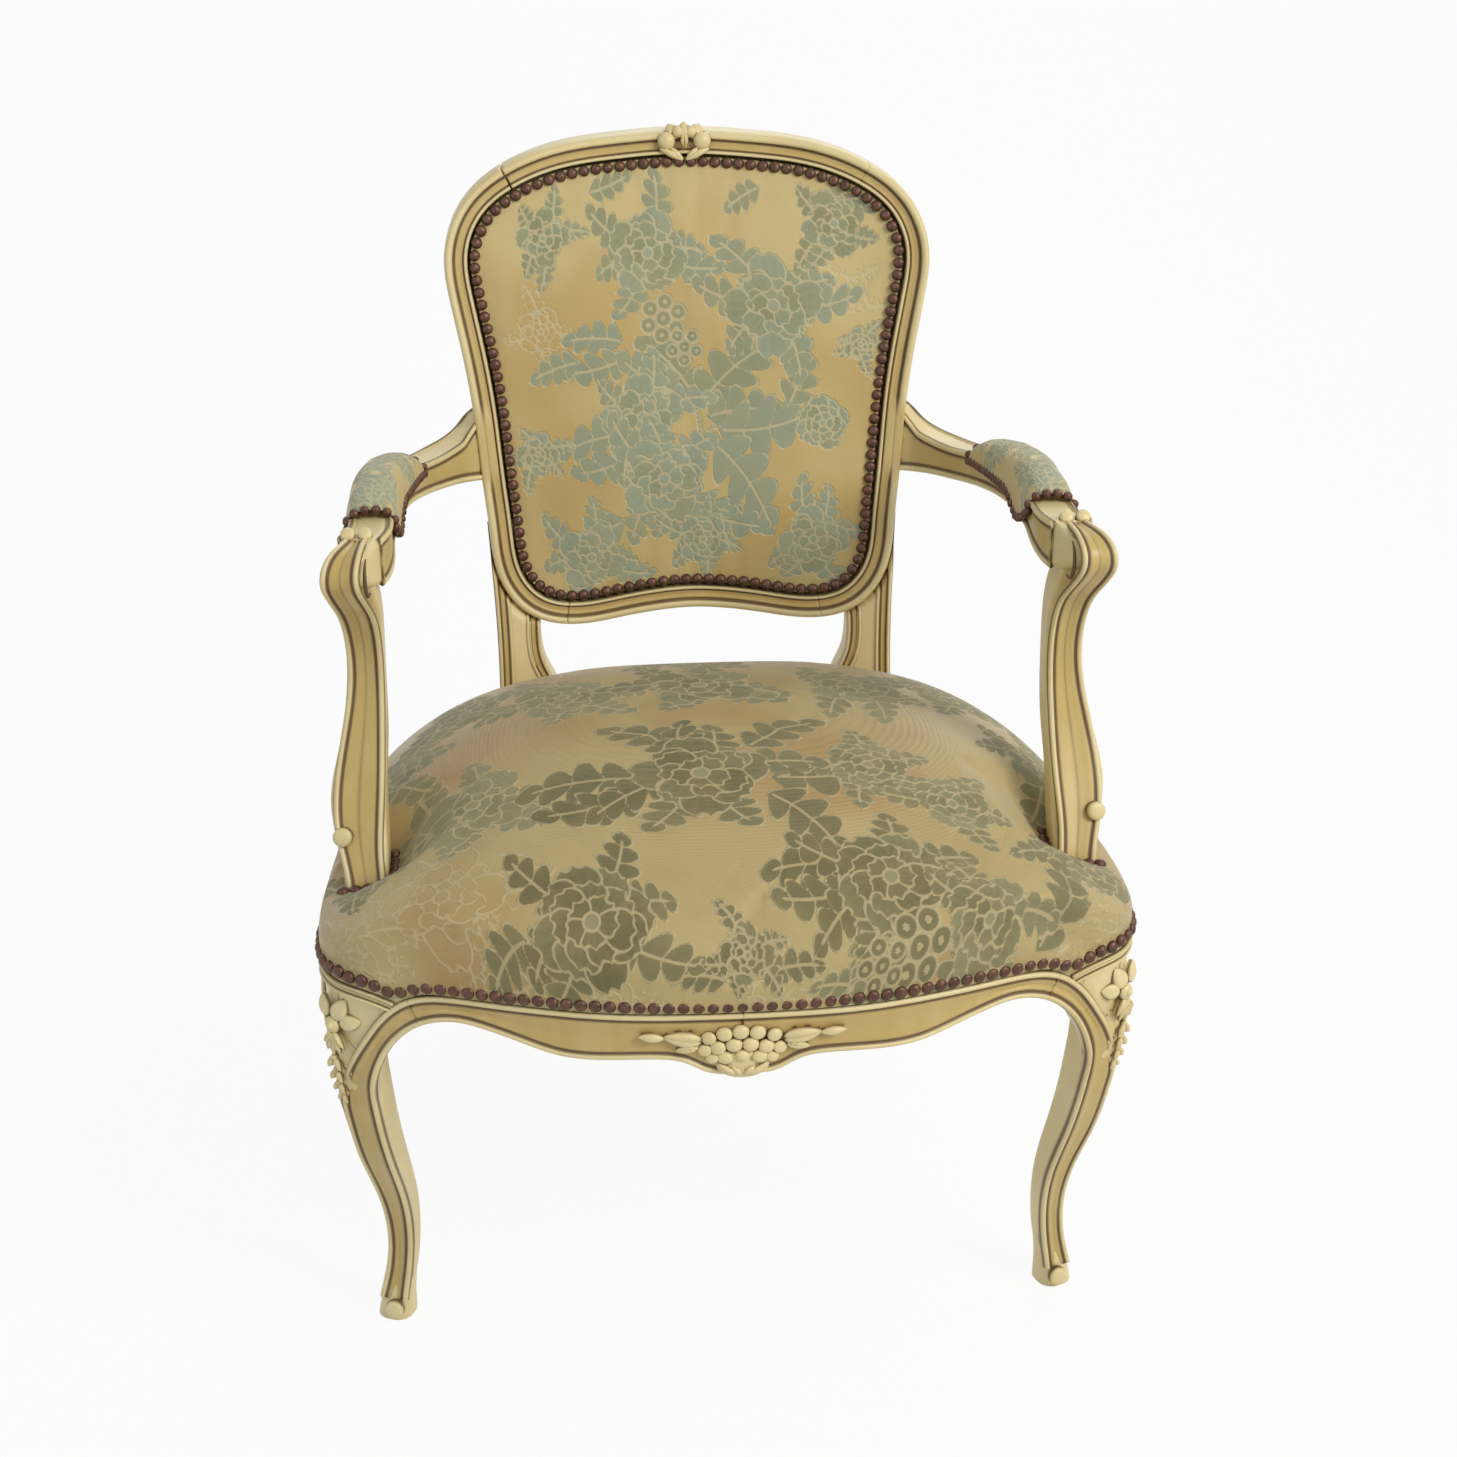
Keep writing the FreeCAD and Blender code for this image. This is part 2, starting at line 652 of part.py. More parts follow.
def back_ring():
    """The whole frame round the back's opening, with the step that takes the padding and a hollow moulding."""
    wood = size("back_wood_width")
    rebate = size("nail_to_rebate")
    ring = back_band(wood, -size("nail_to_opening")).common(back_slab(0, size("back_thickness")))
    recess = back_prism(rebate).common(back_slab(-20, size("rebate_depth")))
    hollow = back_band(wood - size("moulding_edge"), rebate + 0.7 * size("moulding_edge"))
    return ring.cut([recess, hollow.common(back_slab(-20, size("moulding_depth")))])


BACK_RING = back_ring()


def crest_rail():
    rail = BACK_RING.common(box(-260, 260, -60, 420, 700, 900)).common(joint_side(True))
    rail = rail.common(mirror_x(joint_side(True)))
    top = size("crest_flower_z")
    domes = []
    for x, drop, radius in ((-19, 4, 8), (19, 4, 8), (-8, -1, 8), (8, -1, 8), (0, 9, 8)):
        domes.append((back_point(x, top - drop, 0), (0, -1, 0.2), radius, 5))
    holes = [DOWEL_HOLES[0], mirror_x(DOWEL_HOLES[0])]
    return main_solid(rail.fuse(carved_domes(domes)).cut(holes))


def lower_back_rail():
    joint = size("lower_joint_x")
    rail = BACK_RING.common(box(-joint, joint, 100, 300, 440, 560))
    return main_solid(rail.cut([DOWEL_HOLES[1], mirror_x(DOWEL_HOLES[1])]))


def back_post():
    plank = back_slab(0, size("back_thickness"))
    upper = POST_BLANK.common(plank).common(box(100, 260, 0, 300, 383.9, 562))
    recess = back_prism(size("nail_to_rebate")).common(back_slab(-20, size("rebate_depth")))
    upper = upper.cut([back_prism(-size("nail_to_opening")), recess])
    ring = BACK_RING.common(joint_side(False)).common(box(size("lower_joint_x"), 260, 0, 420, 440, 900))
    leg = REAR_LEG_SOLID.common(box(100, 260, 0, 400, 0, TOP))
    grow = size("joint_gap")
    mortises = [
        tenon("x", POST_SIDE_X + 8, POST_SIDE_X - TENON, size("rear_side_tenon_y"), grow),
        tenon("x", POST_INNER_X - 10, POST_INNER_X + TENON, size("back_tenon_y"), grow),
    ]
    post = leg.fuse([upper, ring])
    return main_solid(post.cut(mortises + PEG_HOLES[2:4] + DOWEL_HOLES[:3] + SCREW_HOLES))


# Arms, and the turned-out supports that carry them on the side rails


def path_frames(points, grow=0.0):
    """Middle, direction across, direction up and the two half sizes at each point of an arm's path."""
    frames = []
    for i, (x, y, z, half_across, half_up) in enumerate(points):
        before, after = points[max(i - 1, 0)], points[min(i + 1, len(points) - 1)]
        ahead = (Vector(*after[:3]) - Vector(*before[:3])).normalize()
        across = ahead.cross(UP).normalize()
        frames.append((Vector(x, y, z), across, across.cross(ahead), half_across + grow, half_up + grow))
    return frames


def arm_blank(grow=0.0):
    sections = [
        rounded_section(middle, across, up, half_across, half_up, 5)
        for middle, across, up, half_across, half_up in path_frames(ARM, grow)
    ]
    return Part.makeLoft(sections, True, False)


def support_blank(grow=0.0):
    sections = [
        rounded_section(Vector(x, y, z), Vector(1, 0, 0), Vector(0, 1, 0), half_x + grow, half_y + grow, 5)
        for x, y, z, half_x, half_y in SUPPORT
    ]
    return Part.makeLoft(sections, True, False)


def arm(post):
    end = ARM[-1]
    volutes = [Part.makeSphere(5.5, Vector(ARM[-2][0] + side * 6, end[1] + 34, 649)) for side in (-1, 1)]
    wood = arm_blank().fuse(volutes).cut([post] + DOWEL_HOLES[2:4])
    return main_solid(wood)


def arm_support(arm_wood):
    disc = Part.makeCylinder(7.5, 12, Vector(288, -129, 424), Vector(0.15, -1, 0.2))
    wood = support_blank().fuse(disc).cut([arm_wood] + DOWEL_HOLES[3:5])
    return main_solid(wood)


# Arm pads: a bolster on the arm's middle stretch under a cover that is nailed to the arm's sides

# fullness of the pad along its length, from end to end
PAD_FULLNESS = [(0.0, 0.42), (0.06, 0.72), (0.2, 0.94), (0.5, 1.0), (0.8, 0.95), (0.94, 0.72), (1.0, 0.42)]


def pad_frame(share):
    """Middle of the arm's top, directions across and up, and the arm's half width at a share of the pad."""
    frames = path_frames(ARM)[PAD_STRETCH]
    tops = Part.BSplineCurve()
    tops.interpolate([middle + up * half_up for middle, _, up, _, half_up in frames])
    first, last = tops.FirstParameter, tops.LastParameter
    where = first + (last - first) * share
    ahead = Vector(*tops.tangent(where)[0])
    across = ahead.cross(UP).normalize()
    return tops.value(where), across, across.cross(ahead), frames[2][3]


def pad_loft(low, side_gap, lowered, ends):
    """Half-round loft over the arm: from low below its top, wider than the arm by side_gap."""
    sections = []
    for share, fullness in PAD_FULLNESS:
        centre, across, up, arm_half = pad_frame(ends + (1 - 2 * ends) * share)
        half = arm_half + side_gap
        rise = size("arm_pad_height") * fullness - lowered
        knee = 0.45 * rise

        def at(a, b):
            return centre + across * a + up * b

        outline = [
            line(at(-half, -low), at(half, -low)),
            line(at(half, -low), at(half, knee)),
            arc(at(half, knee), at(0, rise), at(-half, knee)),
            line(at(-half, knee), at(-half, -low)),
        ]
        sections.append(Part.Wire(outline))
    return Part.makeLoft(sections, True, False)


def arm_pad_stuffing():
    stuffing = pad_loft(low=8, side_gap=-GAP, lowered=CLOTH + GAP, ends=0.03)
    return main_solid(stuffing.cut(arm_blank(GAP)))


def arm_pad_cover():
    skirt = size("arm_skirt")
    outer = pad_loft(low=skirt, side_gap=2 * GAP + CLOTH, lowered=0, ends=0.02)
    inner = pad_loft(low=skirt + 1, side_gap=2 * GAP, lowered=CLOTH, ends=0.028)
    return main_solid(outer.cut(inner).cut(arm_blank(GAP)))


def arm_pad_nails():
    heads = []
    count = int(210 // size("nail_pitch"))
    for i in range(count + 1):
        centre, across, up, arm_half = pad_frame(0.05 + 0.9 * i / count)
        for side in (-1, 1):
            place = centre + across * side * (arm_half + 2 * GAP + CLOTH + GAP)
            place = place - up * (size("arm_skirt") - size("nail_head_radius") - 0.5)
            heads.append(copy_at(NAIL, place, across * side))
    return Part.makeCompound(heads)


# Seat: a dome that is notched round the posts and the arm supports

# y, the top of the dome there as a share of the crown's rise above the edge, and the half width of the seat
SEAT_CROWN = [
    (-332, -0.06, 296), (-312, 0.14, 298), (-280, 0.42, 300), (-220, 0.72, 303), (-130, 0.94, 304),
    (-30, 1.0, 297), (70, 0.86, 276), (140, 0.58, 240), (180, 0.32, 202), (215, 0.02, 170),
]


def seat_dome(lowered):
    """The dome over the whole seat before it is trimmed, lowered by what lies on it."""
    edge_z = size("seat_edge_z")
    rise = size("seat_crown_z") - edge_z
    sections = []
    for y, share, half in SEAT_CROWN:
        top = edge_z + rise * share - lowered
        edge = edge_z - 10 + 4 * share - lowered
        shoulder = edge + (top - edge) * 0.78
        flank = edge + (shoulder - edge) * 0.46
        inner, outer, past = 0.76 * half, 0.96 * half, half + 28
        outline = [
            line(Vector(-past, y, 340), Vector(past, y, 340)),
            line(Vector(past, y, 340), Vector(past, y, edge - 8)),
            arc(Vector(past, y, edge - 8), Vector(outer, y, flank), Vector(inner, y, shoulder)),
            arc(Vector(inner, y, shoulder), Vector(0, y, top), Vector(-inner, y, shoulder)),
            arc(Vector(-inner, y, shoulder), Vector(-outer, y, flank), Vector(-past, y, edge - 8)),
            line(Vector(-past, y, edge - 8), Vector(-past, y, 340)),
        ]
        sections.append(Part.Wire(outline))
    return Part.makeLoft(sections, True, False)


def seat_notches():
    """What the seat leaves free round the two posts and the two arm supports."""
    gap = size("notch_gap")
    post = box(121 - gap, 178 + gap, 160 - gap, 230, 330, 560)
    notch = [post, support_blank(gap)]
    return both_sides_list(notch)


def seat_cover(notches):
    step = size("tack_step")
    outer = seat_dome(0).common(seat_prism(-step + GAP + CLOTH, SHOW + GAP, 520))
    inner = seat_dome(CLOTH).common(seat_prism(-step + GAP, 330, 520))
    return main_solid(outer.cut(inner).cut(notches))


def layer_z(layers):
    """Height above the rails of what lies on that many layers of webbing."""
    return TOP + layers * size("strap_thickness") + (layers + 1) * 0.1


def seat_stuffing(notches):
    base = layer_z(2) + size("hessian_thickness") + GAP
    dome = seat_dome(CLOTH + GAP).common(seat_prism(-size("tack_step") - GAP, base, 520))
    return main_solid(dome.cut(notches))


def seat_hessian(notches):
    low = layer_z(2) + 0.1
    return main_solid(seat_prism(-8, low, low + size("hessian_thickness")).cut(notches))


def seat_straps(axis, middles, layer, notches):
    """Webbing straps of one direction, stopped 8 mm inside the frame's outer face."""
    half, low = size("strap_width") / 2, layer_z(layer)
    inside = seat_prism(-8, low, low + size("strap_thickness"))
    straps = []
    for middle in middles:
        across = box(-REACH, REACH, middle - half, middle + half, low - 1, low + 9)
        along = box(middle - half, middle + half, -REACH, REACH, low - 1, low + 9)
        straps.append(main_solid(inside.common(along if axis == "y" else across).cut(notches)))
    return Part.makeCompound(straps)


# Back padding: cover, stuffing, straps and the cloth on the outside


# height, half width of the swelling there, and its share of the bulge
BACK_CROWN = [
    (470, 120, 0.0), (497, 125, 0.0), (512, 137, 0.3), (548, 146, 0.74), (600, 151, 0.94), (680, 161, 1.0),
    (752, 172, 0.92), (790, 173, 0.72), (815, 158, 0.45), (832, 130, 0.2), (843, 100, 0.0), (862, 70, 0.0),
]


def back_crown(lowered):
    """What lies behind the padding's front: a flat rim round a swelling, deeper than the frame at the rear."""
    rim, rear_depth = size("back_pad_rim") + lowered, 60.0
    sections = []
    for z, half, swell in BACK_CROWN:
        spots = [
            back_point(0, z, rim - size("back_pad_bulge") * swell), back_point(half, z, rim),
            back_point((half + 210) / 2, z, rim), back_point(210, z, rim), back_point(210, z, rear_depth),
        ]
        middle, inner, edge, outer, rear = spots
        left_inner, left_edge, left_outer, left_rear = [Vector(-spot.x, spot.y, z) for spot in spots[1:]]
        outline = [
            arc(left_inner, middle, inner),
            arc(inner, edge, outer),
            line(outer, rear),
            line(rear, left_rear),
            line(left_rear, left_outer),
            arc(left_outer, left_edge, left_inner),
        ]
        sections.append(Part.Wire(outline))
    return Part.makeLoft(sections, True, False)


def strap_depth(layer):
    """Depth of the front of a layer of the back's webbing; the rear layer lies on the step."""
    return size("rebate_depth") - 0.1 - (layer + 1) * (size("strap_thickness") * 0.75 + 0.1)


def back_padding(lowered, offset, rear_depth):
    return back_crown(lowered).common(back_prism(offset)).common(back_slab(-60, rear_depth))


def back_cover():
    edge, floor = size("nail_to_rebate") - GAP, size("rebate_depth") - GAP
    return main_solid(back_padding(0, edge, floor).cut(back_padding(CLOTH, edge - CLOTH, floor + 20)))


def back_stuffing():
    return main_solid(back_padding(CLOTH + GAP, size("nail_to_rebate") - 2 * GAP - CLOTH, strap_depth(1) - GAP))


def back_straps():
    """Webbing across the opening, on the step behind the padding: three level straps, then two upright."""
    half = size("strap_width") * 0.4
    thick = size("strap_thickness") * 0.75
    inside = back_prism(size("nail_to_rebate") - 7)
    straps = []
    rear = back_slab(strap_depth(0), strap_depth(0) + thick).common(inside)
    for z in (575, 668, 761):
        straps.append(main_solid(rear.common(box(-260, 260, 0, 420, z - half, z + half))))
    front = back_slab(strap_depth(1), strap_depth(1) + thick).common(inside)
    for x in (-62, 62):
        straps.append(main_solid(front.common(box(x - half, x + half, 0, 420, 440, 900))))
    return Part.makeCompound(straps)


def outside_back():
    rear = size("back_thickness") + GAP
    return main_solid(back_prism(4).common(back_slab(rear, rear + CLOTH)))


# Nail rows


def along_outline(points, pitch):
    """Evenly spaced points and tangents along a closed outline, as many as fit at the pitch."""
    edge = closed_spline([Vector(a, b, 0) for a, b in points]).Edges[0]
    count = int(edge.Length // pitch)
    spots = []
    for i in range(count):
        where = edge.getParameterByLength(edge.Length * i / count)
        spots.append((edge.valueAt(where), edge.tangentAt(where)))
    return spots


def seat_nails():
    """Nails round the foot of the seat's cover, left out at the posts."""
    outline = offset_closed(whole_outline(SEAT_HALF), -size("tack_step") + 2 * GAP + CLOTH)
    heads = []
    for place, tangent in along_outline(outline, size("nail_pitch")):
        if 112 < abs(place.x) < 190 and place.y > 150:
            continue
        heads.append(copy_at(NAIL, Vector(place.x, place.y, size("nail_line_z")), Vector(tangent.y, -tangent.x, 0)))
    return Part.makeCompound(heads)


def back_nails(depth, facing):
    """Nails round the back's padding, facing -1 to the front or 1 to the rear."""
    heads = []
    for place, _ in along_outline(whole_outline(BACK_NAIL_HALF), size("nail_pitch")):
        x, z = place.x, place.y
        spot = back_point(x, z, depth)
        outward = Vector(x, spot.y - back_axis_y(z), 0).normalize()
        outward = Vector(outward.x, outward.y, -LEAN * outward.y).normalize()
        heads.append(copy_at(NAIL, spot, outward * facing))
    return Part.makeCompound(heads)


# Building, from the frame outwards

kept = []


def piece(label, shape):
    feature = doc.addObject("Part::Feature", label)
    feature.Label = label
    feature.Shape = shape
    kept.append(feature)


def pair(label, shape):
    piece(label + "_right", shape)
    piece(label + "_left", mirror_x(shape))


def blocks():
    """The four corner blocks, fitted to the inside of the rails and round the legs."""
    low = TOP - size("block_top_gap") - size("block_height")
    room = seat_prism(-size("rail_thickness") - size("soft_gap"), low - 5, TOP)
    front = FRONT_BLOCK.Shape.copy()
    front.Placement = Placement(Vector(264, -258, low), Rotation(UP, 90))
    rear = REAR_BLOCK.Shape.copy()
    rear.Placement = Placement(Vector(240, 165, low), Rotation(UP, 180))
    leg_corner = box(267 - size("leg_block_half") - 0.1, 320, -340, -217 + size("leg_block_half") + 0.1, 0, TOP)
    fitted = [
        main_solid(front.common(room).cut([leg_corner] + SCREW_HOLES)),
        main_solid(rear.common(room).cut([REAR_LEG_SOLID] + SCREW_HOLES)),
    ]
    return both_sides(Part.makeCompound(fitted))


def pins(master, places):
    return both_sides(Part.makeCompound([copy_at(master, start, direction) for start, direction in places]))


post = back_post()
arm_wood = arm(post)
piece("front_rail", front_rail())
pair("side_rail", side_rail())
piece("back_rail", back_rail())
pair("front_leg", front_leg())
pair("back_post", post)
piece("crest_rail", crest_rail())
piece("lower_back_rail", lower_back_rail())
pair("arm", arm_wood)
pair("arm_support", arm_support(arm_wood))
piece("corner_blocks", blocks())
piece("corner_block_screws", pins(SCREW, BLOCK_SCREWS))
piece("joint_pegs", pins(PEG, PEGS))
piece("back_dowels", pins(DOWEL, BACK_DOWELS))
piece("arm_dowels", pins(DOWEL, ARM_DOWELS))
notches = seat_notches()
piece("seat_webbing_lengthwise", seat_straps("y", (-205, -88, 0, 88, 205), 0, notches))
piece("seat_webbing_crosswise", seat_straps("x", (-200, -92, -12, 62, 128), 1, notches))
piece("seat_hessian", seat_hessian(notches))
piece("seat_stuffing", seat_stuffing(notches))
piece("seat_cover", seat_cover(notches))
piece("seat_nails", seat_nails())
piece("back_webbing", back_straps())
piece("back_stuffing", back_stuffing())
piece("back_cover", back_cover())
piece("outside_back_cover", outside_back())
nail_seat = size("back_pad_rim") - 2 * GAP
piece("back_front_nails", back_nails(nail_seat, -1))
piece("back_rear_nails", back_nails(size("back_thickness") + 2 * GAP + CLOTH, 1))
pair("arm_pad_stuffing", arm_pad_stuffing())
pair("arm_pad_cover", arm_pad_cover())
pair("arm_pad_nails", arm_pad_nails())
doc.recompute()

for thing in doc.Objects:
    if "Invalid" in thing.State or "Error" in thing.State:
        raise RuntimeError(f"{thing.Name} failed to rebuild")
for feature in kept:
    if feature.Shape.isNull() or not feature.Shape.isValid():
        raise RuntimeError(f"{feature.Label} has no valid shape")
os.makedirs("parts", exist_ok=True)
for feature in kept:
    feature.Shape.exportStep(f"parts/{feature.Label}.step")
bounds = Part.makeCompound([feature.Shape for feature in kept]).BoundBox
print("bounds", [round(v, 2) for v in (bounds.XMin, bounds.XMax, bounds.YMin, bounds.YMax, bounds.ZMin, bounds.ZMax)])
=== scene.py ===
import bpy
import math
import numpy as np
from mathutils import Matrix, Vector
from mathutils.bvhtree import BVHTree


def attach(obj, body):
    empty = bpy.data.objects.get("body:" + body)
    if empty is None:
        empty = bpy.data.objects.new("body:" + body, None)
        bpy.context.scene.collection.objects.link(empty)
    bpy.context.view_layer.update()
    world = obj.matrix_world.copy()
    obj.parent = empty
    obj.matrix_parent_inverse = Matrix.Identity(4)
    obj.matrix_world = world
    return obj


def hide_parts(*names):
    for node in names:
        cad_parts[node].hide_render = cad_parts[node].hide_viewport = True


# Open armchair: carved and painted frame, damask seat, back and arm pads, rows of domed nails.
# Shapes are worked out in millimetres and become metres when their mesh is made.

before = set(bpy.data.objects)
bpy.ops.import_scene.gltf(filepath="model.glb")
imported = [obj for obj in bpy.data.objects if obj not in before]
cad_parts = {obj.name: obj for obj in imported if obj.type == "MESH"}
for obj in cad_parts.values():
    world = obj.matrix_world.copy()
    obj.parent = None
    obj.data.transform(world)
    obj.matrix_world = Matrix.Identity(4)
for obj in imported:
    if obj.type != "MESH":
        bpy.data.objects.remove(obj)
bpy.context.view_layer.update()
MM = 0.001
rng = np.random.default_rng(7)
NO_TRIS = np.zeros((0, 3), int)

# Curves and grids


def unit(v):
    return v / np.maximum(np.linalg.norm(v, axis=-1, keepdims=True), 1e-9)


def smoothstep(low, high, value):
    t = np.clip((value - low) / (high - low), 0, 1)
    return t * t * (3 - 2 * t)


def spline(points, count, closed=False, along=3):
    """Even points on the smooth cubic through the given ones; the first columns count as length."""
    p = np.asarray(points, float)
    if closed:
        p = np.vstack([p, p[:1]])
    step = np.linalg.norm(np.diff(p[:, :along], axis=0), axis=1)
    t = np.r_[0, np.cumsum(step)]
    slope = np.diff(p, axis=0) / step[:, None]
    n = len(t)
    system, right = np.zeros((n, n)), np.zeros_like(p)
    i = np.arange(1, n - 1)
    system[i, i - 1], system[i, i], system[i, i + 1] = step[:-1], 2 * (step[:-1] + step[1:]), step[1:]
    right[1:-1] = 6 * (slope[1:] - slope[:-1])
    if closed:
        system[0, 0], system[0, -1] = 1, -1
        system[-1, [0, 1, -2, -1]] = 2 * step[0], step[0], step[-1], 2 * step[-1]
        right[-1] = 6 * (slope[0] - slope[-1])
    else:
        system[0, 0] = system[-1, -1] = 1
    bend = np.linalg.solve(system, right)
    fine = np.linspace(0, t[-1], count * 8)
    k = np.clip(np.searchsorted(t, fine, side="right") - 1, 0, n - 2)
    u, h = (fine - t[k])[:, None], step[k][:, None]
    q = p[k] + u * (slope[k] - h * (2 * bend[k] + bend[k + 1]) / 6)
    q += u**2 * bend[k] / 2 + u**3 * (bend[k + 1] - bend[k]) / (6 * h)
    s = np.r_[0, np.cumsum(np.linalg.norm(np.diff(q[:, :along], axis=0), axis=1))]
    even = np.linspace(0, s[-1], count, endpoint=not closed)
    return np.stack([np.interp(even, s, q[:, j]) for j in range(q.shape[1])], 1)


def cells(index):
    """Quads between the neighbouring points of a grid, from the points' numbers."""
    return np.stack([index[:-1, :-1], index[1:, :-1], index[1:, 1:], index[:-1, 1:]], -1).reshape(-1, 4)


def open_grid(rows, columns):
    """Quads of a grid with four edges, and the points of its rim in order."""
    index = np.arange(rows * columns).reshape(rows, columns)
    rim = np.concatenate([index[0, :], index[1:, -1], index[-1, -2::-1], index[-2:0:-1, 0]])
    return cells(index), rim


def grid(points, across_loop=True, glaze_and_shade=0.0, wash=0.0):
    """Quads over a grid of points; rows that are loops get a fan over each end and face outwards."""
    rows, columns = points.shape[:2]
    index = np.arange(rows * columns).reshape(rows, columns)
    if across_loop:
        index = np.hstack([index, index[:, :1]])
    quads = cells(index)
    verts = points.reshape(-1, 3)
    shade = np.stack([np.broadcast_to(v, (rows, columns)) for v in (glaze_and_shade, wash)], -1).reshape(-1, 2)
    tris = NO_TRIS
    if across_loop:
        ends = np.stack([points[0].mean(0), points[-1].mean(0)])
        first, last = index[0], index[-1]
        a = np.stack([first[:-1], first[1:], np.full(columns, rows * columns)], -1)
        b = np.stack([last[1:], last[:-1], np.full(columns, rows * columns + 1)], -1)
        verts, tris = np.vstack([verts, ends]), np.vstack([a, b])
        shade = np.vstack([shade, shade[:columns].mean(0), shade[-columns:].mean(0)])
    part = [verts, quads, tris, shade]
    if across_loop and volume(part) < 0:
        part = flipped(part)
    return part


def volume(part):
    verts, quads, tris, _ = part
    corners = np.vstack([quads[:, [0, 1, 2]], quads[:, [0, 2, 3]], tris])
    a, b, c = verts[corners[:, 0]], verts[corners[:, 1]], verts[corners[:, 2]]
    return np.einsum("ij,ij->", a, np.cross(b, c)) / 6


def flipped(part):
    verts, quads, tris, shade = part
    return [verts, quads[:, ::-1], tris[:, ::-1], shade]


def mirrored(part):
    verts, quads, tris, shade = flipped(part)
    return [verts * (-1, 1, 1), quads, tris, shade]


def merge(parts):
    start = np.cumsum([0] + [len(part[0]) for part in parts])
    quads = np.vstack([part[1] + first for part, first in zip(parts, start)])
    tris = np.vstack([part[2] + first for part, first in zip(parts, start)])
    return [np.vstack([part[0] for part in parts]), quads, tris, np.vstack([part[3] for part in parts])]


def linked(name, verts, faces):
    """An object in the scene with a mesh in metres."""
    mesh = bpy.data.meshes.new(name)
    mesh.from_pydata((verts * MM).tolist(), [], faces)
    piece = bpy.data.objects.new(name, mesh)
    bpy.context.scene.collection.objects.link(piece)
    return piece


def smoothed(mesh):
    mesh.polygons.foreach_set("use_smooth", np.full(len(mesh.polygons), True))


def make(name, part, finish, nodes=(), cloth=None):
    """The object of a piece, with its glaze and painted shade and its wash, or its cloth values, as attributes."""
    verts, quads, tris, shade = part
    piece = linked(name, verts, quads.tolist() + tris.tolist())
    mesh = piece.data
    # on wood the first attribute holds glaze together with painted shade in hollows and joints
    names = ("glaze_and_shade", "wash") if cloth is None else ("leaf", "line", "tone")
    for label, values in zip(names, shade.T if cloth is None else cloth):
        attribute = mesh.attributes.new(label, "FLOAT", "POINT")
        attribute.data.foreach_set("value", np.ascontiguousarray(values, np.float32))
    smoothed(mesh)
    mesh.materials.append(finish)
    mesh.validate()
    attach(piece, "root")
    if nodes:
        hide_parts(*nodes)
    return piece


# The chair's measures, as the frame has them

LEAN = math.tan(math.radians(12.0))
# top of the seat frame, and of what the cloth leaves to be seen of it
TOP, SHOW = 384.0, 359.5
# radius of the back's front face, and depth of the rails
BACK_RADIUS, RAIL_DEPTH = 580.0, 42
# how far the rails' bodies lie behind their mouldings
BODY_INSET = 4.5
# distance from one nail to the next, on the seat and back and on the arm pads
NAIL_PITCH, PAD_NAIL_PITCH = 10.3, 8.6
BACK_NAIL_HALF = [
    (0, 850), (56, 847), (105, 841), (146, 827), (171, 808), (182, 782), (180, 752), (172, 710), (163.5, 655),
    (158, 597), (153, 548), (146, 512), (130, 493), (104, 486), (68, 489), (30, 493.5), (0, 495),
]
SEAT_HALF = [
    (0, -317), (60, -315), (105, -309), (150, -297), (200, -281), (250, -265), (284, -251), (299, -231),
    (304, -200), (304, -150), (299, -60), (288, 20), (267, 92), (235, 146), (190, 180), (120, 195), (0, 203),
]
FRONT_LOW = [
    (0, 311), (24, 311.5), (41, 320), (62, 323), (100, 321.5), (130, 322.5), (155, 329), (180, 336),
    (204, 339.5), (222, 337.5), (236, 329.5), (247, 314), (253, 296), (255, 276),
]
SIDE_LOW = [
    (-204, 276), (-201, 296), (-194, 314), (-182, 329), (-166, 337), (-146, 338.5), (-110, 333), (-60, 325),
    (0, 321.5), (60, 323), (120, 329), (200, 332),
]
POST_OUTER = [
    (0, 203), (60, 197), (150, 188), (240, 181), (320, 177), (400, 174), (450, 174), (500, 176), (562, 180)
]
POST_INNER = [
    (0, 171), (60, 165), (150, 156), (250, 147), (330, 137), (370, 124), (396, 121), (411, 125), (428, 133),
    (448, 137), (475, 137), (520, 142), (562, 150),
]
REAR_LEG = [
    (0, 276, 16), (12, 275, 17), (50, 259, 16), (110, 231, 16.5), (180, 204, 18.5), (250, 188, 20),
    (310, 182, 20), (350, 180.5, 18.5), (384, 181, 16.5),
]
FRONT_LEG = [
    (0, 12, 8, 12.0), (4, 12, 8, 14.0), (14, 11.5, 7.5, 14.8), (30, 10, 6.5, 13.6), (64, 4, 4, 11.8),
    (100, 0, 0, 11.8), (146, 2, -9, 13.6), (190, 9.5, -21, 15.8), (230, 15, -31, 17.0),
    (265, 18.5, -37, 17.8),
    (300, 20, -38, 18.5), (340, 13, -28, 19.5), (359.5, 11, -24, 19.5),
]
ARM = [
    (172, 226, 620, 12, 34), (181, 221, 619, 13, 31), (191, 215.5, 616, 14, 24.5),
    (202, 208.5, 613, 14.5, 19.5),
    (214, 195, 612, 15, 16.5), (228, 172, 612.5, 15, 14.6), (244, 125, 619, 15.5, 14), (254, 65, 628, 16, 14),
    (258, 5, 634, 16, 14.5), (258, -50, 634, 16, 15), (257, -90, 632, 16.5, 17), (264, -122, 631, 16.5, 18),
    (271.5, -143, 632, 13, 11), (274, -149, 632, 9.5, 8), (274.5, -152.5, 632, 4, 4),
]
SUPPORT = [
    (270, -149, 384, 16.5, 18), (270, -146, 398, 17, 18), (273, -130, 420, 19.5, 17),
    (275, -117, 446, 21, 16.5),
    (270, -100, 485, 18, 16), (266, -90, 530, 14.5, 15), (265, -93, 570, 14.5, 15.5),
    (266, -106, 600, 15.5, 17),
    (268, -118, 622, 15, 17),
]


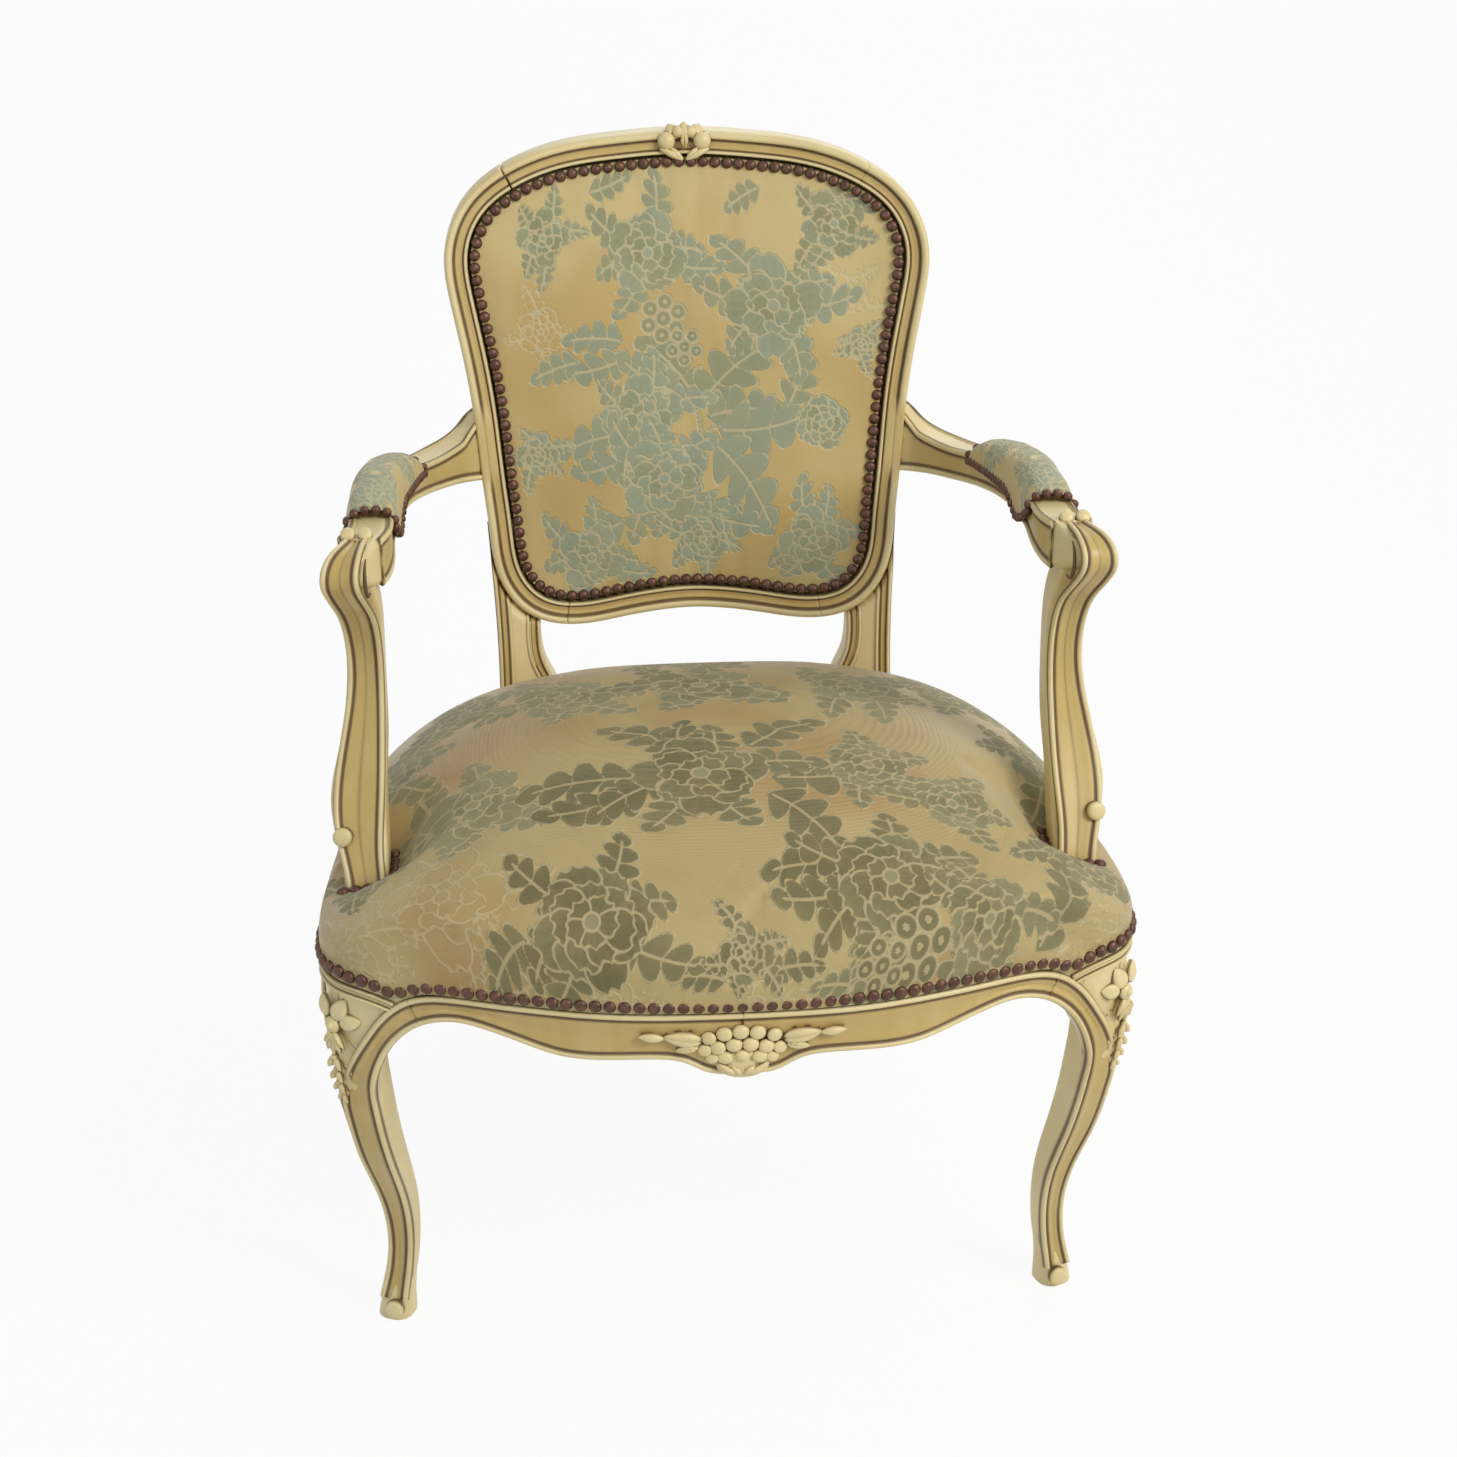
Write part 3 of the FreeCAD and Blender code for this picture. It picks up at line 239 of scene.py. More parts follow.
def whole(half):
    """The closed outline, anticlockwise, of a half that runs from the middle of one side to the other."""
    loop = np.array(list(half) + [(-a, b) for a, b in reversed(half) if a > 0], float)
    turn = np.roll(loop, -1, 0)
    area = np.sum(loop[:, 0] * turn[:, 1] - turn[:, 0] * loop[:, 1])
    return loop if area > 0 else loop[::-1]


def outline_frame(half, count):
    """Evenly spaced points of a closed outline with their outward normals."""
    points = spline(whole(half), count, closed=True, along=2)
    tangent = unit(np.roll(points, -1, 0) - np.roll(points, 1, 0))
    return points, np.stack([tangent[:, 1], -tangent[:, 0]], 1)


def back_y(x, z, depth):
    """Y at a depth behind the leaning cylinder on which the front of the back's frame lies."""
    return 201.3 + (z - 460.0) * LEAN - BACK_RADIUS + np.sqrt(
        (BACK_RADIUS + depth) ** 2 - np.minimum(np.abs(x), 300) ** 2
    )


SEAT_LINE, SEAT_OUT = outline_frame(SEAT_HALF, 1200)


def seat_face_y(x):
    """Y of the seat frame's front face at x."""
    front = (SEAT_LINE[:, 1] < -225) & (np.abs(SEAT_LINE[:, 0]) < 301)
    line = SEAT_LINE[front]
    order = np.argsort(line[:, 0])
    return np.interp(x, line[order, 0], line[order, 1])


def seat_face_x(y):
    """X of the seat frame's right face at y."""
    side = (SEAT_LINE[:, 0] > 150) & (SEAT_LINE[:, 1] > -240) & (SEAT_LINE[:, 1] < 190)
    line = SEAT_LINE[side]
    order = np.argsort(line[:, 1])
    return np.interp(y, line[order, 1], line[order, 0])


# Mouldings: a bead along each edge, a dark groove inside it, and a washed hollow or flat field between

# share of the bead's width from the edge, height above the face in millimetres, glaze
BEAD = [
    (-0.1, -2.6, 1.0), (0.0, -1.3, 0.6), (0.12, -0.4, 0.15), (0.32, 0.4, 0.0), (0.52, 0.55, 0.0), (0.74, 0.1, 0.0),
    (0.9, -0.7, 0.6), (1.04, -1.7, 1.0), (1.28, -1.7, 1.0), (1.5, -1.2, 0.45), (1.75, -1.15, 0.1),
]


def panel(left, right, outward, bead=5.0, dish=0.8, wash=1.0, bow=0.0, line=0.0, thick=6.0):
    """Moulded strip between two edge curves: a bead at both edges and a dish between them.

    Beads narrow where the strip is under four of them wide.
    """
    count = len(left)
    width = np.linalg.norm(right - left, axis=1)
    b = np.minimum(bead, width / 4)[:, None]
    share, height, dark = np.array(BEAD).T
    middle = np.linspace(0, 1, 9)[1:-1]
    start, end = share[-1] * b, width[:, None] - share[-1] * b
    t = np.hstack([share * b, start + (end - start) * middle, width[:, None] - share[::-1] * b])
    dip = height[-1] - dish * np.sin(np.pi * middle)
    dark_middle = np.zeros(len(middle)) + line * np.exp(-(((middle - 0.5) / 0.1) ** 2))
    h = np.broadcast_to(np.r_[height, dip, height[::-1]], t.shape).copy()
    glaze_and_shade = np.broadcast_to(np.r_[dark, dark_middle, dark[::-1]], t.shape).copy()
    rising = np.r_[np.zeros(len(share) - 3), 0.6, 0.9, 1.0]
    paint = np.r_[rising, np.ones(len(middle)), rising[::-1]] * wash
    along = (right - left) / width[:, None]
    s = t / width[:, None]
    lift = h + 4 * bow * np.clip(s * (1 - s), 0, 1)
    points = left[:, None] + along[:, None] * t[..., None] + outward[:, None] * lift[..., None]
    back = np.stack([right - outward * thick - along * 1.0, left - outward * thick + along * 1.0], 1)
    points = np.concatenate([points, back], 1)
    pad = np.zeros((count, 2))
    return grid(points, glaze_and_shade=np.hstack([glaze_and_shade, pad]), wash=np.hstack([np.broadcast_to(paint, t.shape), pad]))


def rounded(centre, across, up, half_across, half_up, corner=4.0, steps=4):
    """Sweep of a rectangle with round corners: each corner is a quarter turn about its own centre."""
    turn = np.concatenate([np.linspace(k, k + 1, steps + 1) for k in range(4)]) * np.pi / 2
    sign_a = np.repeat([1, -1, -1, 1], steps + 1)
    sign_b = np.repeat([1, 1, -1, -1], steps + 1)
    c = np.minimum(corner, 0.9 * np.minimum(half_across, half_up))[:, None]
    a = sign_a * (half_across[:, None] - c) + np.cos(turn) * c
    b = sign_b * (half_up[:, None] - c) + np.sin(turn) * c
    share = np.arange(1, 6) / 6
    sides = []
    for k in range(4):
        end, start = (k + 1) * (steps + 1) - 1, (k + 1) * (steps + 1) % len(turn)
        sides.append(slice(k * (steps + 1), end + 1))
        sides.append((end, start))

    def filled(v):
        runs = []
        for i in sides:
            if isinstance(i, slice):
                runs.append(v[:, i])
            else:
                runs.append(v[:, i[:1]] * (1 - share) + v[:, i[1] : i[1] + 1] * share)
        return np.hstack(runs)

    a, b = filled(a), filled(b)
    return centre[:, None] + across[:, None] * a[..., None] + up[:, None] * b[..., None]


def dome(centre, facing, radius, rise, steps=5, sides=20, flat=0.0, squash=(1.0, 1.0)):
    """Round boss: rings of radius times an angle's sine, raised by its cosine; flat evens its top."""
    facing = unit(np.array(facing, float))
    side = unit(np.cross((0, 0, 1) if abs(facing[2]) < 0.9 else (0, 1, 0), facing))
    up = np.cross(facing, side)
    tilt = np.linspace(0.02, np.pi / 2, steps + 1)
    r = np.r_[np.sin(tilt), 1.0] * radius
    h = np.r_[np.cos(tilt) ** (1 - flat), -0.8] * rise
    around = np.linspace(0, 2 * np.pi, sides, endpoint=False)
    points = np.array(centre, float) + (
        side * (np.cos(around) * squash[0])[None, :, None] * r[:, None, None]
        + up * (np.sin(around) * squash[1])[None, :, None] * r[:, None, None]
        + facing * h[:, None, None]
    )
    dark = np.broadcast_to(np.r_[np.zeros(steps), 0.7, 1.0][:, None], (steps + 2, sides))
    return grid(points, glaze_and_shade=dark)


def petal(centre, facing, turn, length, width, rise, point=0.0, fold=0.0, cup=0.0):
    """Carved petal from its foot: half width follows the sine of the share along it, height an arch."""
    facing = unit(np.array(facing, float))
    side = unit(np.cross((0, 0, 1) if abs(facing[2]) < 0.9 else (0, 1, 0), facing))
    up = np.cross(facing, side)
    ahead = side * math.cos(turn) + up * math.sin(turn)
    beside = np.cross(facing, ahead)
    s = np.linspace(0.0, 1.0, 12)[:, None]
    w = np.linspace(-1.0, 1.0, 9)[None, :]
    half = width / 2 * np.sin(np.pi * np.clip(s, 0.03, 0.985) ** (0.75 + 0.5 * point)) ** (0.62 + 0.6 * point)
    arch = (1 - w**4) * np.sin(np.pi * (0.12 + 0.8 * s)) - fold * np.exp(-((w / 0.16) ** 2)) * (1 - 0.5 * s)
    arch = arch - cup * (1 - w**2) * np.sin(np.pi * s)
    points = (
        np.array(centre, float)
        + ahead * (s * length)[..., None] * np.ones_like(w)[..., None]
        + beside * (half * w)[..., None]
        + facing * (rise * arch)[..., None]
    )
    depth = np.maximum(rise * 1.2 * np.clip(arch[:, ::-1][:, 1:-1] + 0.4, 0.3, 2), 1.0)
    under = points[:, ::-1][:, 1:-1] - facing * depth[..., None]
    loop = np.concatenate([points, under], 1)
    dark = np.zeros(loop.shape[:2])
    dark[:, :9] = np.where(np.abs(w) > 0.9, 0.9, 0.0) + fold * 1.2 * np.exp(-((w / 0.13) ** 2))
    dark[:1] = 0.8
    return grid(loop, glaze_and_shade=np.clip(dark, 0, 1))


def tube(points, radius, glaze_and_shade=0.0, sides=10):
    """Round cord of wood along a curve, thinned towards both ends."""
    p = np.asarray(points, float)
    ahead = unit(np.gradient(p, axis=0))
    side = unit(np.cross(ahead, (0.13, 0.2, 1.0)))
    up = np.cross(side, ahead)
    around = np.linspace(0, 2 * np.pi, sides, endpoint=False)
    s = np.linspace(0, 1, len(p))
    r = radius * np.clip(np.sin(np.pi * s), 0.15, 1) ** 0.5
    ring = side[:, None] * np.cos(around)[:, None] + up[:, None] * np.sin(around)[:, None]
    return grid(p[:, None] + ring * r[:, None, None], glaze_and_shade=glaze_and_shade)


# Back frame

# offset outwards from the nail line, depth behind the front face, glaze, wash
RING_PROFILE = np.array([
    (20, 30, 0, 0), (24, 29, 0, 0), (26, 26, 0, 0), (26, 16, 0, 0), (26, 9, 0, 0), (25.6, 5, 0, 0),
    (24.6, 2, 0, 0),
    (22.8, 0.4, 0, 0), (21, 0.1, 0, 0), (19.4, 0.9, 0.15, 0), (18.6, 2.2, 0.8, 0.2), (17.9, 3.8, 1, 0.5),
    (17.1, 3.9, 1, 0.9), (16.2, 3.0, 0.4, 1), (14.9, 3.6, 0, 1), (13.2, 3.9, 0, 1), (11.6, 3.5, 0.05, 1),
    (10.9, 3.2, 0.5, 1), (10.2, 4.4, 1, 0.7), (9.5, 3.9, 0.95, 0.3), (8.8, 2.0, 0.2, 0), (7.8, 1.4, 0, 0),
    (6.8, 1.8, 0.2, 0), (6.1, 3.4, 0.8, 0), (6.0, 11, 1, 0), (-6, 11, 0, 0), (-14, 11, 0, 0), (-14, 30, 0, 0),
])
BACK_LINE, BACK_OUT = outline_frame(BACK_NAIL_HALF, 720)


def ring_stretch(chosen):
    """Part of the back's frame: its profile along the nail line, flatter where the arms spring from it."""
    line, out = BACK_LINE[chosen], BACK_OUT[chosen]
    offset, depth, dark, wash = RING_PROFILE.T
    x = line[:, :1] + out[:, :1] * offset
    z = line[:, 1:] + out[:, 1:] * offset
    height = smoothstep(583, 603, line[:, 1]) * (1 - smoothstep(640, 664, line[:, 1]))
    near_arm = height * (np.abs(line[:, 0]) > 120)
    outer = np.where((offset > 10.8) & (depth < 12), 1.0, 0.0) * near_arm[:, None]
    flat = 1.3 + 0.5 * np.exp(-(((offset - 17.6) / 0.8) ** 2))
    d = depth * (1 - outer) + np.where(offset > 25, depth, flat) * outer
    glaze_and_shade = dark * (1 - outer) + 0.55 * np.exp(-(((offset - 17.6) / 0.7) ** 2)) * outer
    paint = wash * (1 - outer) + 0.75 * outer
    return grid(np.stack([x, back_y(x, z, d), z], -1), glaze_and_shade=glaze_and_shade, wash=paint)


def nearest(line, point):
    return int(np.argmin(np.linalg.norm(line - np.array(point), axis=1)))


def stretch_between(start, end):
    """Indices of the nail line from one point to another, anticlockwise."""
    a, b = nearest(BACK_LINE, start), nearest(BACK_LINE, end)
    if b < a:
        b += len(BACK_LINE)
    return np.arange(a, b + 1) % len(BACK_LINE)


def crest_flower():
    """Two round buds, a fan of petals behind them and stems that meet below, on the top of the crest."""
    def at(x, z, depth=0.0):
        return (x, float(back_y(x, z, depth)), z)

    face = (0, -1, 0.1)
    parts = [
        petal(at(-7, 868, 1), (-0.1, -1, 0.35), math.radians(118), 15, 15, 5),
        petal(at(7, 868, 1), (0.1, -1, 0.35), math.radians(62), 15, 15, 5),
        petal(at(0, 867, 0), (0, -1, 0.35), math.radians(90), 16.5, 13, 6),
        petal(at(-12, 866, 1), (-0.2, -1, 0.3), math.radians(152), 14, 12, 4.5),
        petal(at(12, 866, 1), (0.2, -1, 0.3), math.radians(28), 14, 12, 4.5),
        dome(at(-15.5, 867.5, -1), face, 7.6, 5.5), dome(at(15.5, 867.5, -1), face, 7.6, 5.5),
        dome(at(-5.5, 875, -1.5), face, 5.2, 4.5), dome(at(5.5, 875, -1.5), face, 5.2, 4.5),
        petal(at(0, 862, -1), face, math.radians(90), 11, 7.5, 4.5, point=0.6, fold=0.5),
    ]
    for side in (-1, 1):
        for x, z, wide in ((21, 861, 3.0), (12, 862, 2.6)):
            path = spline(
                [at(side * 1.5, 852, -0.6), at(side * x * 0.55, 857, -1.2), at(side * x, z, -0.5)], 12
            )
            parts.append(tube(path, wide))
    return parts


def under_ring(part):
    """Moves whatever lies inside the ring's outer edge back behind the ring's face."""
    verts = part[0]
    gap = verts[:, None, [0, 2]] - BACK_LINE[None, ::3]
    near = np.argmin((gap**2).sum(-1), axis=1)
    offset = np.einsum("ij,ij->i", gap[np.arange(len(verts)), near], BACK_OUT[::3][near])
    front = verts[:, 1] - back_y(verts[:, 0], verts[:, 2], 0) < 15
    verts = verts + np.stack([0 * offset, 9.5 * front * smoothstep(30, 25.2, offset), 0 * offset], 1)
    return [verts, *part[1:]]


def post_lower():
    """Post below the back's opening: a beaded strip up both edges of its front."""
    z = np.linspace(386, 556, 90)
    outer, inner = curve_of(POST_OUTER, z), curve_of(POST_INNER, z)
    depth = 1.6
    parts = []
    for edge, sign in ((outer, -1), (inner, 1)):
        width = 12.5
        a = np.stack([edge, back_y(edge, z, depth), z], 1)
        b_x = edge + sign * width
        b = np.stack([b_x, back_y(b_x, z, depth), z], 1)
        across = unit(b - a)
        facing = unit(np.cross(np.gradient(a, axis=0), across)) * -sign
        parts.append(under_ring(panel(a, b, facing * np.sign(-facing[:, 1:2]), bead=4.6, dish=0.3, thick=4)))
    return parts


def curve_of(rows, where):
    """Smooth value at each place of a table of place and value."""
    fine = spline(np.array(rows, float), 400, along=2)
    return np.interp(where, fine[:, 0], fine[:, 1])


def post_body():
    """Rear leg and post: a rectangle with round corners that follows the outlines and the leg's depth."""
    z = np.concatenate([np.linspace(0, 4, 4), np.linspace(8, 560, 150)])
    outer, inner = curve_of(POST_OUTER, z), curve_of(POST_INNER, z)
    leg = np.array(REAR_LEG, float)
    middle, half = curve_of(leg[:, [0, 1]], z), curve_of(leg[:, [0, 2]], z)
    x_middle = (outer + inner) / 2
    front_high, rear_high = back_y(x_middle, z, 3.2), back_y(x_middle, z, 29.6)
    high = smoothstep(372, 396, z)
    front = (middle - half) * (1 - high) + front_high * high
    rear = (middle + half) * (1 - high) + rear_high * high
    shrink = np.interp(z, [0, 4], [1.2, 0])
    centre = np.stack([x_middle, (front + rear) / 2, z], 1)
    ones = np.ones((len(z), 1))
    skew = np.where(z > 372, -np.tan(np.arcsin(x_middle / 590)), 0) * high
    across = np.hstack([ones, skew[:, None], 0 * ones])
    body = rounded(
        centre, across, np.array([[0, 1.0, 0]]) * ones, (outer - inner) / 2 - shrink,
        (rear - front) / 2 - shrink, 4.5
    )
    return under_ring(grid(body))


# Arms


def path_frame(rows):
    """Directions across and up at each point of an arm's path, whose across side faces the sitter."""
    ahead = unit(np.gradient(rows[:, :3], axis=0))
    across = unit(np.cross(ahead, (0, 0, 1.0)))
    return across, np.cross(across, ahead)


ARM_PATH = spline(ARM, 150)
ARM_ACROSS, ARM_UP = path_frame(ARM_PATH)


def arm_parts():
    """Arm: its body and, on each side, a field between two beads."""
    centre, half_across, half_up = ARM_PATH[:, :3], ARM_PATH[:, 3], ARM_PATH[:, 4]
    parts = [grid(rounded(centre, ARM_ACROSS, ARM_UP, half_across - 2.2, half_up - 1.6, 5.0))]
    shown = slice(2, int(len(centre) * 0.90))
    for side in (1, -1):
        face = centre + ARM_ACROSS * (side * half_across)[:, None]
        top, low = face + ARM_UP * (half_up * 0.96)[:, None], face - ARM_UP * (half_up * 0.96)[:, None]
        parts.append(
            panel(top[shown], low[shown], side * ARM_ACROSS[shown], bead=5.2, dish=-0.25, wash=0.85, thick=5)
        )
    for part in parts:
        root = 1 - smoothstep(190, 226, part[0][:, 0])
        part[0][:, 1] += ((part[0][:, 2] - 620) * LEAN + 4.5) * root
    return parts


TIP_STRIP = [
    (264, -110, 648.5, 8.5), (265, -122, 649.5, 9), (267.5, -136, 649, 10.5), (271, -149, 645, 12.5),
    (273.5, -157, 637, 13.5), (274, -158.5, 628, 14), (272, -152, 616, 14.2), (269, -139, 603, 14.2),
    (266.5, -124, 588, 14), (265, -112, 566, 13.6), (265.5, -106.5, 533, 13.6), (269, -113.5, 497, 16),
    (274, -132, 453, 19.0), (274.5, -144, 432, 18.2), (272, -158.5, 409, 15.5), (270, -168, 393, 14.8),
    (270, -170.5, 386, 14.8),
]


def tip_strip():
    """Beaded strip that runs over the arm's tip and down the support."""
    path = spline(TIP_STRIP, 150)
    ahead = unit(np.gradient(path[:, :3], axis=0))
    across = unit(np.array([[1.0, 0.12, 0.0]]) - ahead * (ahead @ np.array([1.0, 0.12, 0.0]))[:, None])
    outward = np.cross(across, ahead)
    outward *= np.sign(outward[8, 2])
    left = path[:, :3] - across * path[:, 3:]
    right = path[:, :3] + across * path[:, 3:]
    return panel(left, right, outward, bead=4.4, dish=0.9, line=0.5, thick=5)


def volutes():
    parts = []
    for side in (-1, 1):
        parts.append(dome((264 + side * 6.2, -111.5, 650.5), (0.05 * side, -0.75, 0.7), 5.4, 3.6, flat=0.5))
    return parts


def crescent():
    """C cut into the sitter's side of the arm's tip: a narrow raised curl with a dark foot."""
    turn = np.linspace(math.radians(70), math.radians(-110), 26)
    curl = np.stack([np.full(26, 0.0), -139 - 11 * np.cos(turn), 628 + 15 * np.sin(turn)], 1)
    curl[:, 0] = 255.2 - 0.12 * (curl[:, 1] + 139)
    return tube(curl, 1.5, glaze_and_shade=0.95)


def support_body():
    rows = spline(SUPPORT, 90)
    ones = np.ones((len(rows), 1))
    x, y = ones * [[1.0, 0, 0]], ones * [[0, 1.0, 0]]
    centre = rows[:, :3] + [0, 1.3, 0]
    return grid(rounded(centre, x, y, rows[:, 3] - 0.4, rows[:, 4] - 1.3, 4.0))


# Seat frame


def rail_body(low, top, outer, inner):
    """Closed band between an outer and an inner line, from its lower edge up to its top."""
    def row(line, z):
        return np.stack([line[:, 0], line[:, 1], np.broadcast_to(z, len(line))], 1)
    inward = unit(inner - outer)
    return grid(np.stack([
        row(outer + inward * 1.2, low), row(outer, low + 1.2), row(outer, top - 3), row(outer + inward, top),
        row(outer + inward * 3.0, top), row(outer + inward * 3.0, TOP), row(inner, TOP), row(inner, low),
    ], 1))


FRONT_OUTER_EDGE = [
    (200, 359.5), (217, 358.5), (232, 355), (243, 349.5), (251, 343), (260, 333), (270, 318), (279, 302),
    (285, 288), (289.5, 272)
]
FRONT_INNER_EDGE = [
    (201, 339.5), (219, 336.5), (234, 329), (245, 319), (253, 308), (258, 298), (262, 287), (265, 274)
]
LEG_TURN = math.radians(22)
LEG_ACROSS = np.array([math.cos(LEG_TURN), math.sin(LEG_TURN), 0.0])
LEG_BACK = np.array([-math.sin(LEG_TURN), math.cos(LEG_TURN), 0.0])


def leg_rows(count, low=0.0, high=359.5):
    rows = np.array([(256 + a, -195 + b, z, h) for z, a, b, h in FRONT_LEG], float)
    fine = spline(rows, 600)
    z = np.linspace(low, high, count)
    return np.stack(
        [np.interp(z, fine[:, 2], fine[:, j]) for j in (0, 1)] + [z, np.interp(z, fine[:, 2], fine[:, 3])], 1
    )


def on_front(points):
    p = np.array(points, float)
    return np.stack([p[:, 0], seat_face_y(p[:, 0]), p[:, 1]], 1)


def on_side(points):
    p = np.array(points, float)
    return np.stack([seat_face_x(p[:, 0]), p[:, 0], p[:, 1]], 1)


def band_edges():
    """Edges of the moulded band from the middle of the front rail down to the right foot."""
    low = leg_rows(16, 40, 252)[::-1]
    outer_reach = np.interp(low[:, 2], [40, 190, 252], [0.93, 0.86, 0.72])
    outer_leg = low[:, :3] + LEG_ACROSS * (low[:, 3] * outer_reach)[:, None]
    outer_leg = outer_leg - LEG_BACK * (low[:, 3] * 0.99)[:, None]
    inner_leg = low[:, :3] - LEG_ACROSS * (low[:, 3] * 0.93)[:, None] - LEG_BACK * (low[:, 3] * 0.97)[:, None]
    start = [(0, 359.3), (40, 359.3), (90, 359.3), (140, 359.3), (175, 359.3)]
    outer_rail = on_front(start + FRONT_OUTER_EDGE)
    outer_rail[-2:, 1] += (1.5, 3.5)
    inner_low = [(x, z + 0.3) for x, z in FRONT_LOW if x < 195]
    inner_rail = on_front(inner_low + FRONT_INNER_EDGE)
    inner_rail[-2:, 1] += (0.5, 2.0)
    outer = spline(np.vstack([outer_rail, outer_leg]), 330)
    inner = spline(np.vstack([inner_rail, inner_leg]), 330)
    return outer, inner


def match(outer, inner):
    """Re-space two edges so that points of the same number lie opposite each other."""
    s = np.linspace(0, 1, len(outer))
    for _ in range(3):
        gap = inner - outer
        ahead = unit(np.gradient(outer + inner, axis=0))
        slip = np.einsum("ij,ij->i", gap, ahead)
        length = np.linalg.norm(np.gradient(inner, axis=0), axis=1) * (len(s) - 1)
        shift = np.clip(slip / np.maximum(length, 1.0), -0.02, 0.02)
        shift = np.convolve(np.pad(shift, 6, mode="edge"), np.ones(13) / 13, "valid")
        shift[0] = shift[-1] = 0
        where = np.maximum.accumulate(np.clip(s - shift * 0.7, 0, 1))
        inner = np.stack([np.interp(where, s, inner[:, j]) for j in range(3)], 1)
    return outer, inner


def facing_of(left, right, towards):
    ahead = unit(np.gradient((left + right) / 2, axis=0))
    out = unit(np.cross(ahead, right - left))
    return out * np.sign(np.sum(out * towards, axis=1, keepdims=True))


def front_band(rail):
    """The band's part on the rail, up to its joint with the leg, or its part on the leg."""
    outer, inner = match(*band_edges())
    towards = np.array([[0.25, -1, 0.0]])
    out = facing_of(outer, inner, towards)
    bow = np.interp(outer[:, 2], [40, 300, 345, 360], [1.2, 1.8, 0.6, 0.2])
    joint = int(np.argmax(outer[:, 0] + inner[:, 0] > 464))
    kept = slice(0, joint + 1) if rail else slice(joint, None)
    return panel(outer[kept], inner[kept], out[kept], bead=4.6, dish=1.1, bow=bow[kept, None], thick=7)


def side_band(rail):
    """The same band on the side rail, which turns down the leg's outer side; cut at the joint too."""
    low = leg_rows(16, 40, 252)
    front_leg = low[:, :3] + LEG_ACROSS * (low[:, 3] * 0.99)[:, None] - LEG_BACK * (low[:, 3] * 0.72)[:, None]
    rear_leg = low[:, :3] + LEG_ACROSS * (low[:, 3] * 0.97)[:, None] + LEG_BACK * (low[:, 3] * 0.93)[:, None]
    upper = on_side([
        (-213, 312), (-200, 331), (-184, 346), (-160, 355), (-120, 358.5), (-60, 359.3), (0, 359.3),
        (60, 359.3), (110, 359.3), (150, 359.3), (180, 359.3)
    ])
    bend = np.array([(295, -226.5, 272), (299, -222, 290)])
    upper = np.vstack([front_leg, bend, upper])
    lower_rail = on_side([(y, z + 0.3) for y, z in SIDE_LOW[2:-1]] + [(150, 330.5), (180, 331.5)])
    bend = np.array([(286, -209, 272), (291, -204, 292)])
    lower = np.vstack([rear_leg, bend, lower_rail])
    outer, inner = match(spline(upper, 230), spline(lower, 230))
    out = facing_of(outer, inner, np.array([[1.0, 0.0, 0.0]]))
    joint = int(np.argmax(outer[:, 1] + inner[:, 1] > -376))
    kept = slice(joint, None) if rail else slice(0, joint + 1)
    return panel(outer[kept], inner[kept], out[kept], bead=4.6, dish=1.1, bow=0.6, thick=7)


def leg_body():
    rows = leg_rows(120)
    ones = np.ones((len(rows), 1))
    shrink = np.interp(rows[:, 2], [0, 3, 30, 60, 300], [0.5, 0, 0, 1.6, 2.0])
    half = rows[:, 3] - shrink
    corner = np.interp(rows[:, 2], [0, 40, 80], [12.5, 10.5, 6.0])
    return grid(rounded(rows[:, :3], LEG_ACROSS * ones, LEG_BACK * ones, half, half, corner, steps=5))


def corner_body():
    """Top of the front leg: the seat frame's outline round the corner, drawn in as it goes down."""
    chosen = (SEAT_LINE[:, 0] > 231) & (SEAT_LINE[:, 1] < -187)
    line, out = SEAT_LINE[chosen], SEAT_OUT[chosen]
    front, side = np.array(FRONT_INNER_EDGE, float), np.array(SIDE_LOW, float)
    low_front = np.interp(line[:, 0], front[:, 0], front[:, 1]) + 2
    low_side = np.interp(line[:, 1], side[:3, 0], side[:3, 1])
    low_side = np.where(line[:, 1] > -194, np.interp(line[:, 1], side[:, 0], side[:, 1]), low_side) + 2
    low = np.where(line[:, 1] > -204, low_side, np.where(line[:, 0] < 265, low_front, 270.0))[:, None]
    share = np.array([0, 0.03, 0.15, 0.3, 0.5, 0.75, 0.96])
    inset = np.array([11, 9.5, 7.2, 5.4, 4.0, 3.4, 3.4])
    z = low + (SHOW - low) * share
    rows = [np.hstack([line - out * d, z[:, k : k + 1]]) for k, d in enumerate(inset)]
    for d, height in ((4.5, SHOW), (6.0, SHOW), (6.0, TOP), (32.0, TOP), (32.0, 330.0), (22.0, 300.0)):
        rows.append(np.hstack([line - out * d, np.maximum(low, height)]))
    return grid(np.stack(rows, 1))


def knee_carving():
    """Flower on the knee: an eye, three petals above, a fan leaf below it, then husks down the corner."""
    out = unit(np.array([0.62, -0.78, 0.05]))

    parts = [
        petal((291, -246, 327), (0.45, -0.9, 0.1), math.radians(118), 19, 15, 4.5, cup=0.25),
        petal((287, -248, 324), (0.4, -0.92, 0.1), math.radians(165), 17, 14, 4.5, cup=0.25),
        petal((297, -240, 327), (0.8, -0.6, 0.1), math.radians(70), 17, 14, 4.5, cup=0.25),
        dome((293, -244.5, 322), out, 6.6, 4.6), dome((294.6, -247.0, 322.4), out, 3.3, 3.4),
    ]
    for turn, length in ((-128, 15), (-110, 18), (-90, 20), (-70, 18), (-52, 15)):
        parts.append(petal((292.5, -245.5, 317), out, math.radians(turn), length, 6.5, 4.0, fold=0.35))
    for z, x, y, size in (
        (296, 293.5, -245, 13), (284, 292.8, -244, 12), (273, 291.5, -243, 11), (262, 289.5, -241, 9.5)
    ):
        for turn in (-118, -62):
            parts.append(petal((x, y, z), out, math.radians(turn), size, size * 0.48, 3.2, point=0.5))
        parts.append(dome((x, y, z - 1), out, 2.6, 3.4, steps=4, sides=12))
    return parts


